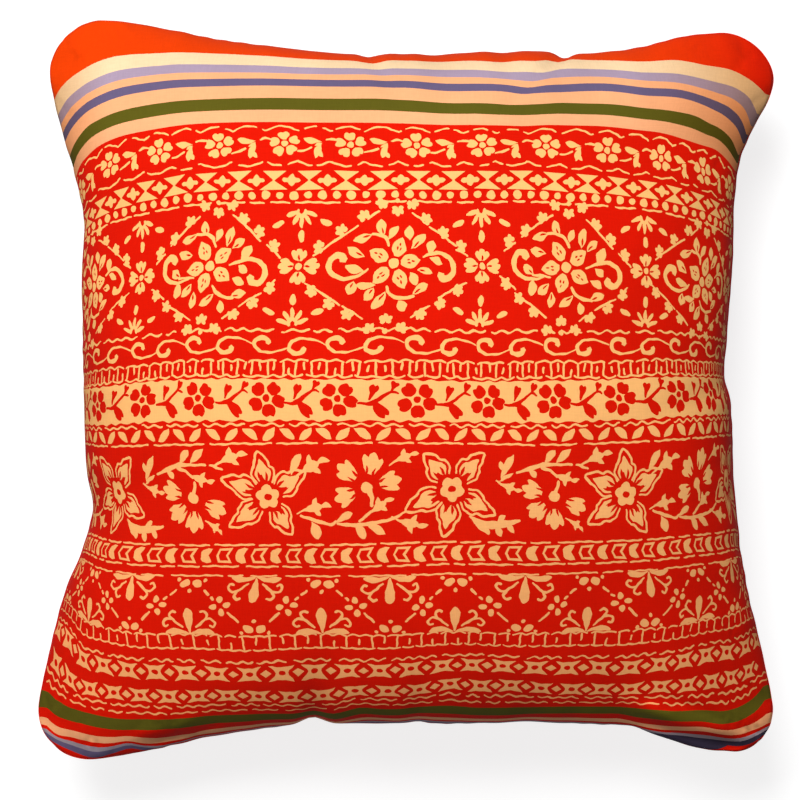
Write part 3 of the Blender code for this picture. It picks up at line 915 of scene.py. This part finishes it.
# Two rows of four-pointed stars and small diamonds, with wavy lines beside them
dashed_line(384.0, 1.25, 20, 2.6, wave=0.8, wavelength=7.4)
star = [7.5 + 4.9j, 2.6 + 4.0j, -2.6 + 4.1j, -7.4 + 4.9j, -4.2 + 1.5j, -4.2 - 1.5j, -7.6 - 5.0j,
        -2.6 - 4.2j, 2.6 - 4.1j, 7.6 - 5.0j, 4.2 - 1.4j, 4.1 + 1.4j]
star = smooth_line(star, 2, closed=True)
small_diamond = np.array([3.3, 2.3j, -3.3, -2.3j])
STAR_ROW_PITCH = 18.8
for down, one_at, high in ((391.4, 3.2, 0.96), (405.6, 8.0, 0.84)):
    eyed_star = cream(star.real + 1j * high * star.imag) + [("red", disc(2.1, 0.72))]
    for across in repeats(STAR_ROW_PITCH, one_at):
        print_motif(eyed_star, at(across, down))
        print_motif(cream(small_diamond), at(across + STAR_ROW_PITCH / 2, down))
dashed_line(412.4, 1.2, 22, 2.6, wave=0.7, wavelength=7.8)
dashed_line(416.8, 1.15, 22, 2.8, wave=0.6, wavelength=8.4)

# The blocks were cut by hand, so their edges waver a little. Plain stripes are even.
def hand_cut(outline):
    """Wavers an outline by a fraction of a millimetre."""
    sideways = np.sin(outline.imag * 1.1 + 2.3 * np.sin(outline.real * 0.45))
    upwards = np.sin(outline.real * 0.9 + 2.1 * np.sin(outline.imag * 0.5))
    return outline + 0.2 * sideways + 0.2j * upwards


# The stuffing pulls the print out of line, mostly downwards. Each row: how far down the print, then
# (place across the cloth, mm lower) along it.
BOWED = [
    (25, [(-228, 23), (-217, 14), (-204, 7.6), (-191, 3.5), (-155, 0), (-122, -2.6), (-60, -1.2),
          (-34, -1.2), (-22, 0.8), (-12, -0.8), (0, 0), (20, -0.6), (38, 0.2), (57, 1.8), (68, -1.1),
          (81, -1.6), (91, -7.4), (100, -9.6), (119, -10.4), (145, -7.5), (166, -4.8), (181, -0.8),
          (202, 2.6), (211, 7), (225, 16)]),
    (38, [(-228, 23), (-217, 14), (-204, 7.6), (-191, 3.5), (-155, -1), (-122, -2.8), (-60, -1.8),
          (-30, -2.2), (-14, -1.8), (0, -0.6), (20, -0.6), (38, 0.8), (60, 1.8), (72, 0.6), (91, -5.6),
          (106, -9.2), (119, -10.4), (145, -8.1), (156, -6.2), (174, -2.1), (190, 0.8), (202, 3.4),
          (212, 8), (225, 19)]),
    (50, [(-227, 22), (-216, 13.5), (-204, 7.6), (-192, 4), (-157, -1), (-122, -3.1), (-60, -2.6),
          (-30, -2.4), (-14, -1.8), (0, -0.7), (20, 0.9), (38, 1.6), (57, 0.9), (70, 0.8), (91, -3.3),
          (106, -7.5), (119, -9.3), (144, -7), (166, -4.3), (181, -0.8), (190, 1.6), (203, 6),
          (211, 9.5), (225, 20)]),
    (62, [(-226, 21), (-215, 13), (-205, 7.4), (-193, 4), (-157, -1), (-122, -3.3), (-60, -2.8),
          (-30, -2.4), (-14, -1.8), (0, -0.7), (20, 0.6), (38, 1), (68, 0), (81, -2.4), (91, -5.1),
          (106, -7.5), (119, -8.7), (144, -6.9), (166, -3.6), (181, -1.5), (190, 1.4), (198, 3.3),
          (212, 8.5), (224, 17)]),
    (78, [(-226, 19), (-216, 11), (-205, 6.5), (-195, 3.6), (-158, -0.8), (-124, -3.5), (-60, -2.6),
          (-30, -2.2), (-3, -1), (20, -0.7), (57, -1.2), (68, -1.8), (85, -5), (116, -8.9),
          (149, -6.8), (174, -2.4), (187, -0.5), (204, 1.6), (217, 7), (224, 11)]),
    (95, [(-226, 14), (-212, 8), (-200, 4.4), (-155, -1), (-125, -3), (-75, -4), (-5, -1.8),
          (45, -2.6), (85, -5.4), (120, -7), (155, -3), (191, 3), (206, 5.5), (224, 10)]),
    (112, [(-226, 12), (-212, 6.5), (-195, 4.4), (-155, 0.3), (-130, -1.8), (-75, -2.3), (-5, -1.7),
           (45, -2.4), (85, -5.2), (120, -6.7), (150, -4), (178, -0.5), (195, 1.1), (224, 7)]),
    (159, [(-226, 12), (-200, 6.4), (-160, 5.2), (-116, -0.5), (-62, 0.2), (-5, -1.5), (45, 0),
           (85, -2), (120, -1.5), (150, 0), (184, 3.8), (224, 5)]),
    (233, [(-226, 3), (-195, 2.7), (-157, -0.5), (-121, -1.6), (-75, -1.6), (-5, -0.8), (45, 0),
           (85, -0.3), (124, -1.5), (164, -3.8), (224, -4)]),
    (285, [(-226, 3), (-182, 3.2), (-157, 2.4), (-121, 1.6), (-75, 0.6), (-5, -1.2), (45, -0.8),
           (86, 2.4), (124, 2), (160, 0.6), (200, -0.5), (224, 1)]),
    (320, [(-226, 4), (-201, 3.6), (-165, 2.1), (-118, 1.4), (-75, 1.5), (-33, 1), (0, -0.6), (29, -1),
           (51, -0.1), (95, 2.4), (115, 3.2), (135, 2.5), (153, 0.7), (180, 0), (206, 1.9), (224, 3)]),
    (355, [(-226, -6), (-197, 0), (-167, 1.5), (-128, 0.8), (-88, 1.4), (-48, 0), (-9, 0), (28, -0.8),
           (68, 2.7), (106, 4.7), (146, 3.5), (180, -0.6), (210, -1), (224, -3)]),
    (391, [(-226, -18), (-211, -12), (-198, -2), (-184, 0), (-167, 1.8), (-130, 2.9), (-91, 4.6),
           (-53, 1.4), (-15, -0.8), (3, -2.4), (21, -4), (38, -3.9), (55, -1.4), (94, 4.4), (132, 7.6),
           (151, 4.2), (167, 0.3), (182, -3), (213, -4.7), (225, -9)]),
    (406, [(-226, -16), (-219, -9.4), (-206, -0.7), (-176, 3.7), (-141, 5.7), (-105, 6.4), (-67, 8.4),
           (-47, 7.6), (-30, 1), (-11, 0.4), (9, -1), (25, -5.6), (43, -2.3), (61, -1), (79, 3.7),
           (97, 7.5), (134, 10.6), (152, 6.6), (170, 3.6), (186, 1), (213, -3.5), (226, -8.1)]),
    (426, [(-222, -5.5), (-216, -1.5), (-208, 1.2), (-200, 2.4), (-189, 4.2), (-178, 6.4), (-150, 7.2),
           (-127, 8.5), (-100, 8.7), (-74, 8.6), (-62, 10), (-43, 9.4), (-36, 5), (-28, 0.3),
           (-14, 1.4), (-2, 1.2), (22, -1.4), (44, 2.8), (69, 6.2), (90, 6.4), (106, 8.2), (131, 11),
           (146, 11), (156, 9.5), (168, 8), (181, 6.5), (195, 7), (209, 2.2), (216, -2.5),
           (224, -11)]),
    (438, [(-222, -4), (-216, 1), (-205, 3), (-190, 6.2), (-180, 6.4), (-171, 6), (-160, 9),
           (-127, 11.3), (-102, 9.8), (-80, 8.8), (-62, 11.4), (-43, 10.8), (-36, 5.6), (-28, 0.4),
           (-2, 1.4), (22, -0.8), (50, 4.8), (90, 7.2), (118, 10), (131, 11.3), (144, 11.6),
           (156, 8.6), (168, 5.4), (181, 3.6), (193, 4.4), (206, 3.6), (215, 1), (224, -4)]),
    (446, [(-222, -5), (-207, 2.5), (-190, 8), (-180, 6), (-170, 3.2), (-160, 8), (-152, 12),
           (-127, 13), (-80, 12), (-43, 11.5), (-36, 6), (-28, 1.5), (-2, 2.5), (22, 1), (44, 5.5),
           (90, 9), (118, 11), (144, 12.6), (156, 7.5), (168, 4), (195, 4), (209, 2), (224, -6)]),
]

# It crowds the print sideways too: how far down the print, then (place across the print, mm further
# right) along it.
CROWDED = [
    (90, [(-250, 12), (-205, 0), (-186, -2.3), (-148, -3.8), (-109, -2.4), (-71, -0.5), (0, 0),
          (84, -0.5), (122, -0.3), (161, -1.1), (180, -4), (200, -8.3), (250, -25)]),
    (112, [(-250, 14), (-225, 3), (-208, -1.8), (-188, -3.3), (-160, -6), (-126, -5.8), (-60, -3),
           (0, 0.4), (60, 0.4), (100, 0.7), (140, 0), (161, -0.8), (181, -3.3), (202, -6.8),
           (250, -25)]),
    (159, [(-250, 30), (-214, 15.4), (-188, 8), (-162, 2.4), (-111, -4.7), (-60, -3), (-8, 1.2),
           (44, 0.7), (95, -1.1), (146, -2.8), (170, -7), (198, -13.8), (250, -36)]),
    (233, [(-250, 28), (-215, 6), (-194, -0.2), (-154, -3.3), (-114, -7.1), (-74, -6.5), (-34, -5.6),
           (6, 0), (47, -0.3), (87, -2.3), (127, -3.3), (167, -3.6), (200, -14), (223, -23),
           (250, -36)]),
    (285, [(-250, 30), (-215, 12), (-182, 0.5), (-123, -5.2), (-81, -0.3), (-22, -0.8), (27, -0.2),
           (86, -0.1), (128, 1), (160, -3), (188, -10.7), (215, -20), (250, -36)]),
    (320, [(-250, 24), (-221, 9), (-200, -0.5), (-180, -7.5), (-159, -6.7), (-138, -3.9), (-117, -1.2),
           (-50, -0.3), (8, 0), (50, 1.1), (92, 3), (134, 0.9), (155, -2.1), (176, -4.7), (197, -8.9),
           (218, -11.9), (250, -26)]),
    (350, [(-250, 22), (-198, 1.4), (-160, -7), (-122, -5.2), (-85, -3.2), (-47, -1.1), (-9, 0),
           (29, -1.2), (67, 1.2), (105, 1), (143, 3.4), (181, -1.1), (215, -8), (250, -24)]),
    (391, [(-250, 22), (-222, 11), (-204, 6), (-185, 1.3), (-166, -0.7), (-147, -1.8), (-110, 0),
           (3, 0), (22, -1.3), (41, -3.2), (78, -4.2), (116, -2.9), (154, -2.6), (172, -5.4),
           (191, -9.2), (210, -13.1), (229, -16), (250, -24)]),
    (406, [(-250, 22), (-218, 11.5), (-199, 7), (-180, 3.8), (-142, 1.7), (-100, 0), (8, 0),
           (45, -2.5), (83, -4.1), (140, -5.6), (177, -7.7), (196, -10.3), (215, -15.6), (250, -26)]),
]


def pulled(table, across, down):
    """Reads one of these tables smoothly across and evenly down."""
    downs = np.array([row[0] for row in table], float)
    curves = np.array([smooth_rows(row[1], across) for row in table])
    band = np.clip(np.searchsorted(downs, down, side="right") - 1, 0, len(downs) - 2)
    share = np.clip((down - downs[band]) / (downs[band + 1] - downs[band]), 0, 1)
    pick = np.arange(len(across))
    return curves[band, pick] * (1 - share) + curves[band + 1, pick] * share


def on_the_cloth(outline):
    """Where a printed outline lies on the cut panel, in mm from its middle."""
    down = -outline.imag
    across = outline.real + pulled(CROWDED, outline.real, down)
    return across + 1j * (HALF_CUT / MM - down - pulled(BOWED, across, down))


def rim_distance(place):
    """How far inside the seam a place on the panel lies, and which way is straight out, in flat cloth."""
    half = HALF_CUT / MM
    radius = CORNER_SHARE * half
    corner = abs(place.real) - (half - radius) + 1j * (abs(place.imag) - (half - radius))
    in_corner = (corner.real > 0) & (corner.imag > 0)
    flat_side = half - np.maximum(abs(place.real), abs(place.imag))
    distance = np.maximum(np.where(in_corner, radius - abs(corner), flat_side), 0)
    sideways = abs(place.real) > abs(place.imag)
    outward = np.where(in_corner, corner / np.maximum(abs(corner), 1e-6), np.where(sideways, 1, 1j))
    return distance, np.sign(place.real) * outward.real + 1j * np.sign(place.imag) * outward.imag


def thread_at(place):
    """The grid's own count for a place on the flat panel: -1 to 1 across and up."""
    u = place.real * MM / HALF_CUT
    v = place.imag * MM / HALF_CUT
    s, t = u, v
    for step in range(40):
        there_u, there_v = rounded_square(s, t)
        s = np.clip(s + u - there_u, -1, 1)
        t = np.clip(t + v - there_v, -1, 1)
    return np.where(abs(s) > 0.9996, np.sign(s), s), np.where(abs(t) > 0.9996, np.sign(t), t)


def between_threads(grid, s, t):
    """A place on a panel, smooth from thread to thread."""
    padded = np.pad(grid, ((1, 1), (1, 1), (0, 0)), mode="reflect", reflect_type="odd")
    taps = []
    for count in (s, t):
        far = (count + 1) / 2 * THREADS
        low = np.clip(far.astype(int), 0, THREADS - 1)
        f = far - low
        weights = (f * (f * (2 - f) - 1) / 2, (f * f * (3 * f - 5) + 2) / 2,
                   f * (f * (4 - 3 * f) + 1) / 2, f * f * (f - 1) / 2)
        taps.append([(low + k, weights[k][:, None]) for k in range(4)])
    return sum(w * z * padded[i, j] for i, w in taps[0] for j, z in taps[1])


# Sewing sinks the seam and gathers the cloth beside it, and the back panel stands out past the seam in
# places. Depths and reaches are in mm.
GROOVE_MM = 0.8
GROOVE_REACH = 1.4
GATHER_MM = 0.22
GATHER_REACH = 9.0
GATHER_RISE_START = 2.0
LIP_MM = 1.6
LIP_FROM_SEAM = 3.0
LIP_REACH = 2.2


def sewn_surface(grid, place, up):
    """Places of the cloth with its seam groove and gathers. Up is 1 for the front and -1 for the back."""
    distance, outward = rim_distance(place)
    s, t = thread_at(place)
    points = between_threads(grid, s, t)
    if up < 0:
        points[:, 2] = np.maximum(points[:, 2], 0)
    by_a_side = abs(s) > abs(t)
    travel = np.where(by_a_side, t, s) * HALF_CUT / MM + 400 * np.sign(np.where(by_a_side, s, 2 * t))
    gather = np.sin(travel / 2.6 + 2.2 * np.sin(travel / 15.0))
    gather = gather * (0.6 + 0.4 * np.sin(travel / 21.0 + 1.0))
    near = np.exp(-((distance / GATHER_REACH) ** 1.2))
    out_mm = GATHER_MM * gather * near - GROOVE_MM * np.exp(-((distance / GROOVE_REACH) ** 2))
    if up < 0:
        low_left = ramp(-place.real, 0, 150) * ramp(-place.imag, 0, 120)
        right = ramp(place.real, 0, 180) ** 2 * ramp(place.imag, -215, 30)
        beside_seam = np.exp(-(((distance - LIP_FROM_SEAM) / LIP_REACH) ** 2))
        out_mm += LIP_MM * np.clip(low_left + right, 0, 1) * beside_seam
    rise_mm = up * 0.5 * GATHER_MM * gather * near * (1 - np.exp(-distance / GATHER_RISE_START))
    points[:, 0] += out_mm * outward.real * MM
    points[:, 1] += out_mm * outward.imag * MM
    points[:, 2] += rise_mm * MM * (points[:, 2] > 0.004)
    return points


# The seam line of both panels, counter-clockwise, and places in from it that follow the cloth's curve
RIM_POINTS = 1120
side_walk = np.linspace(-1, 1, RIM_POINTS // 4, endpoint=False)
one = np.ones_like(side_walk)
rim_s = np.concatenate([side_walk, one, -side_walk, -one])
rim_t = np.concatenate([-one, side_walk, one, -side_walk])
rim_u, rim_v = rounded_square(rim_s, rim_t)
rim_line = (rim_u + 1j * rim_v) * HALF_CUT / MM
SPACING = 3.2


def ground_points():
    """A staggered net of places over the panel, with closer rows by the seam."""
    step = np.arange(-224, 224.1, SPACING)
    across, up = np.meshgrid(step, step)
    across = across + SPACING / 2 * (np.arange(len(step)) % 2)[:, None]
    net = (across + 1j * up).ravel()
    net = net[rim_distance(net)[0] > 4.2]
    rows = [net]
    for depth, skip in ((0.7, 1), (1.5, 1), (2.6, 1), (3.9, 2)):
        shrink = 1 - depth / (HALF_CUT / MM)
        rows.append((rim_line * shrink)[::skip])
    return np.concatenate(rows)


def outline_ready(outline):
    """The outline run counter-clockwise without doubled points."""
    outline = outline[abs(outline - np.roll(outline, 1)) > 0.02]
    area = np.sum(outline.real * np.roll(outline.imag, -1) - outline.imag * np.roll(outline.real, -1))
    return outline if area > 0 else outline[::-1]


def cut_panel(outlines):
    """Triangles of the panel, cut along the outlines, and for each the last outline that covers it."""
    ground = ground_points()
    loops = [rim_line] + outlines
    places = np.concatenate(loops + [ground])
    starts = np.cumsum([0] + [len(loop) for loop in loops])
    faces = [list(range(start, finish)) for start, finish in zip(starts[:-1], starts[1:])]
    flat = [Vector((z.real, z.imag)) for z in places]
    cut = delaunay_2d_cdt(flat, [], faces, 0, 1e-4, True)
    verts, triangles, from_face = cut[0], cut[2], cut[5]
    kept = [k for k, origin in enumerate(from_face) if 0 in origin]
    covers = np.array([max(from_face[k]) for k in kept])
    triangles = np.array([triangles[k] for k in kept])
    used, triangles = np.unique(triangles, return_inverse=True)
    verts = np.array([(v.x, v.y) for v in verts])[used]
    return verts[:, 0] + 1j * verts[:, 1], triangles.reshape(-1, 3), covers


def sewn_panel(name, grid, up, outlines):
    """Lays a cut panel over the settled cover and closes it through the filling."""
    flat, triangles, covers = cut_panel(outlines)
    points = sewn_surface(grid, flat, up)
    # The cloth's slope, from places a little to each side
    inward = flat * (1 - 0.0006)
    slopes = []
    for aside in (0.15, 0.15j):
        slopes.append(sewn_surface(grid, inward + aside, up) - sewn_surface(grid, inward - aside, up))
    normals = np.cross(slopes[0], slopes[1]) * up
    normals /= np.maximum(np.linalg.norm(normals, axis=1, keepdims=True), 1e-12)
    on_rim = rim_distance(flat)[0] < 0.02
    order = np.argsort(np.angle(flat))
    rim_order = order[on_rim[order]]
    middle = len(points)
    core = np.array([[0, 0, SEAM_HEIGHT + up * 0.0003]])
    fan = np.stack([np.roll(rim_order, -1), rim_order, np.full(len(rim_order), middle)], axis=-1)
    faces = np.concatenate([triangles, fan])
    if up < 0:
        faces = faces[:, ::-1]
    mesh = bpy.data.meshes.new(name)
    mesh.from_pydata(np.concatenate([points, core]).tolist(), [], faces.tolist())
    mesh.validate()
    mesh.update()
    loops = np.empty(len(mesh.loops), int)
    mesh.loops.foreach_get("vertex_index", loops)
    spread = np.append(flat, 0)
    uvs = np.stack([spread.real, spread.imag], axis=-1) * MM / HALF_CUT * 0.499 + 0.5
    layer = mesh.uv_layers.new(name="OFBake")
    layer.data.foreach_set("uv", uvs[loops].ravel())
    mesh.shade_smooth()
    corner_normals = np.concatenate([normals, [[0, 0, -up]]])[loops]
    corner_normals[3 * len(triangles):] = (0, 0, -up)
    mesh.normals_split_custom_set(corner_normals.tolist())
    panel = bpy.data.objects.new(name, mesh)
    bpy.context.collection.objects.link(panel)
    return panel, covers


# Colours are the dyed cotton's own, as red, green and blue light, but the top margin's brighter, more
# orange red is painted light
DYES = {
    "red": (0.615, 0.0064, 0.0002),
    "bright_red": (0.70, 0.042, 0.0004),
    "cream": (0.86, 0.455, 0.150),
    "pale_yellow": (0.80, 0.565, 0.335),
    "lilac": (0.345, 0.258, 0.345),
    "peach": (0.82, 0.365, 0.172),
    "slate": (0.118, 0.090, 0.172),
    "olive": (0.093, 0.081, 0.007),
    "grey_lilac": (0.31, 0.25, 0.29),
}


def dyed_cotton(name, dye_name):
    """Plain-weave cotton: uneven threads and dye that took unevenly."""
    material = bpy.data.materials.new(name)
    material.use_nodes = True
    nodes, links = material.node_tree.nodes, material.node_tree.links
    cotton = nodes["Principled BSDF"]
    cotton.inputs["Roughness"].default_value = 0.85
    cotton.inputs["Specular IOR Level"].default_value = 0.04
    flat = nodes.new("ShaderNodeUVMap")
    flat.uv_map = "OFBake"

    def threads(scale_across, scale_up):
        stretch = nodes.new("ShaderNodeMapping")
        stretch.inputs["Scale"].default_value = (scale_across, scale_up, 1)
        links.new(flat.outputs["UV"], stretch.inputs["Vector"])
        noise = nodes.new("ShaderNodeTexNoise")
        noise.noise_dimensions = "2D"
        noise.inputs["Scale"].default_value = 1
        noise.inputs["Detail"].default_value = 2
        links.new(stretch.outputs["Vector"], noise.inputs["Vector"])
        return noise.outputs["Fac"]

    def mixed(kind, first, second):
        mix = nodes.new("ShaderNodeMath")
        mix.operation = kind
        links.new(first, mix.inputs[0])
        links.new(second, mix.inputs[1])
        return mix.outputs[0]

    def narrowed(uneven, *limits):
        spread = nodes.new("ShaderNodeMapRange")
        for end, limit in zip(("From Min", "From Max", "To Min", "To Max"), limits):
            spread.inputs[end].default_value = limit
        links.new(uneven, spread.inputs["Value"])
        return spread.outputs["Result"]

    warp = threads(520, 60)
    weft = threads(55, 500)
    cloth = mixed("ADD", warp, weft)
    shade = narrowed(cloth, 0.7, 1.3, 0.965, 1.035)
    wear = narrowed(threads(9, 9), 0.3, 0.7, 0.96, 1.04)
    tone = mixed("MULTIPLY", shade, wear)
    colour = nodes.new("ShaderNodeVectorMath")
    colour.operation = "SCALE"
    if dye_name is None:
        # On the front, the dye attribute holds the print's colours with painted light and shade
        dye = nodes.new("ShaderNodeAttribute")
        dye.attribute_name = "dye"
        links.new(dye.outputs["Color"], colour.inputs[0])
    else:
        colour.inputs[0].default_value = DYES[dye_name]
    links.new(tone, colour.inputs["Scale"])
    links.new(colour.outputs["Vector"], cotton.inputs["Base Color"])
    bump = nodes.new("ShaderNodeBump")
    bump.inputs["Strength"].default_value = 0.25
    bump.inputs["Distance"].default_value = 0.0002
    links.new(cloth, bump.inputs["Height"])
    links.new(bump.outputs["Normal"], cotton.inputs["Normal"])
    return material


inside = []
for dye, outline in stamped:
    lies = on_the_cloth(outline if dye in PLAIN_DYES else hand_cut(outline))
    distance = rim_distance(lies)[0]
    if distance.max() > 0:
        inside.append((dye, outline_ready(lies)))
front, covers = sewn_panel("front_cloth", front_grid, 1, [outline for dye, outline in inside])
names = np.array(["red"] + [dye for dye, outline in inside])
printed = np.full(len(front.data.polygons), "red", names.dtype)
printed[:len(covers)] = names[covers]
face_dyes_and_painted_light = np.array([(*DYES[name], 1.0) for name in printed])
x, y = (np.array([face.center for face in front.data.polygons]) / MM)[:, :2].T
plain = np.isin(printed, PLAIN_DYES[1:])
# Painted shade: the cream is made warmer towards the lower side, where the cloth turns from the light,
# and the top margin's red is darkened towards the right, where its corner turns from the light
warm_painted_shade = ramp(-y, -60, 230) * (printed == "cream")
face_dyes_and_painted_light[:, 1] *= 1 - 0.20 * warm_painted_shade
face_dyes_and_painted_light[:, 2] *= 1 - 0.13 * warm_painted_shade
# Painted shade: the top margin's red is darkened towards the right corner
depth = ramp(x, 120, 90) * (printed == "bright_red")
face_dyes_and_painted_light[:, 0] *= 1 - 0.14 * depth
face_dyes_and_painted_light[:, 1] *= 1 - 0.75 * depth
# Painted shade: the slate at the lower right corner is darkened where the fold hides it from the light
fold_painted_shade = ramp(x, 125, 30) * (printed == "slate") * (y < -150)
face_dyes_and_painted_light[:, :3] *= 1 - 0.72 * fold_painted_shade[:, None]
# Painted shade: the stripes are darkened where they run into the corners, which turn from the light, and
# so is the print at the lower right, where it turns under
corner = (ramp(x, 135, 65) + 0.8 * ramp(-x, 175, 35)) * (0.3 + 0.7 * (y > 0))
face_dyes_and_painted_light[:, :3] *= 1 - (corner * plain)[:, None] * np.array([0.25, 0.42, 0.58])
low_right_painted_shade = ramp(x, 125, 60) * ramp(-y, 90, 50)
face_dyes_and_painted_light[:, :3] *= 1 - (0.18 * low_right_painted_shade * ~plain)[:, None]
# The dye attribute holds the print's colours together with the painted light and shade above
attribute = front.data.attributes.new("dye", "FLOAT_COLOR", "FACE")
attribute.data.foreach_set("color", face_dyes_and_painted_light.ravel())
front.data.materials.append(dyed_cotton("printed_cotton", None))
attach(front, "root")
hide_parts("front_panel")

# The back panel. The same cotton dyed plain red and cut to the same square. It is sewn to the front
# edge to edge all round, so that its lip shows past the seam in places, and the weight presses it flat.
back, covers = sewn_panel("back_cloth", back_grid, -1, [])
back.data.materials.append(dyed_cotton("plain_cotton", "red"))
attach(back, "root")
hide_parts("back_panel")

# The floor is plain and pale, the light is soft, and the camera looks straight down on the face
bpy.ops.object.select_all(action="DESELECT")
bpy.ops.mesh.primitive_plane_add(size=4, location=(0, 0, -0.0005))
floor = bpy.context.object
floor.name = "floor"
pale = bpy.data.materials.new("pale_floor")
pale.use_nodes = True
paint = pale.node_tree.nodes["Principled BSDF"]
paint.inputs["Base Color"].default_value = (0.35, 0.35, 0.35, 1)
paint.inputs["Roughness"].default_value = 0.9
paint.inputs["Emission Color"].default_value = (1, 1, 1, 1)
paint.inputs["Emission Strength"].default_value = 0.78
floor.data.materials.append(pale)
floor.visible_diffuse = False

for name, place, size, power in (
    ("key_light", (-0.38, 0.93, 1.8), 1.0, 50),
    ("fill_light", (-0.7, -0.6, 2.1), 1.6, 4),
):
    bpy.ops.object.light_add(type="AREA", location=place)
    lamp = bpy.context.object
    lamp.name = name
    lamp.data.size = size
    lamp.data.energy = power
    lamp.rotation_euler = (-Vector(place)).to_track_quat("-Z", "Y").to_euler()

world = bpy.data.worlds.new("studio")
world.use_nodes = True
world.node_tree.nodes["Background"].inputs["Color"].default_value = (1, 1, 1, 1)
world.node_tree.nodes["Background"].inputs["Strength"].default_value = 0.17
bpy.context.scene.world = world

MM_PER_PHOTO_PX = 0.597
PHOTO_SIDE_PX = 800
# Where the middle of the cushion stands in the photo, from the left and from the top
MIDDLE_PX = (406, 389.8)
CAMERA_HEIGHT = 2.2
SENSOR_MM = 36
view = PHOTO_SIDE_PX * MM_PER_PHOTO_PX * MM
camera_x = -(MIDDLE_PX[0] - PHOTO_SIDE_PX / 2) * MM_PER_PHOTO_PX * MM
camera_y = (MIDDLE_PX[1] - PHOTO_SIDE_PX / 2) * MM_PER_PHOTO_PX * MM
bpy.ops.object.camera_add(location=(camera_x, camera_y, CAMERA_HEIGHT), rotation=(0, 0, 0))
camera = bpy.context.object
camera.data.sensor_width = SENSOR_MM
camera.data.sensor_fit = "HORIZONTAL"
camera.data.lens = SENSOR_MM * (CAMERA_HEIGHT - SEAM_HEIGHT) / view
bpy.context.scene.camera = camera
bpy.context.scene.view_settings.view_transform = "Standard"
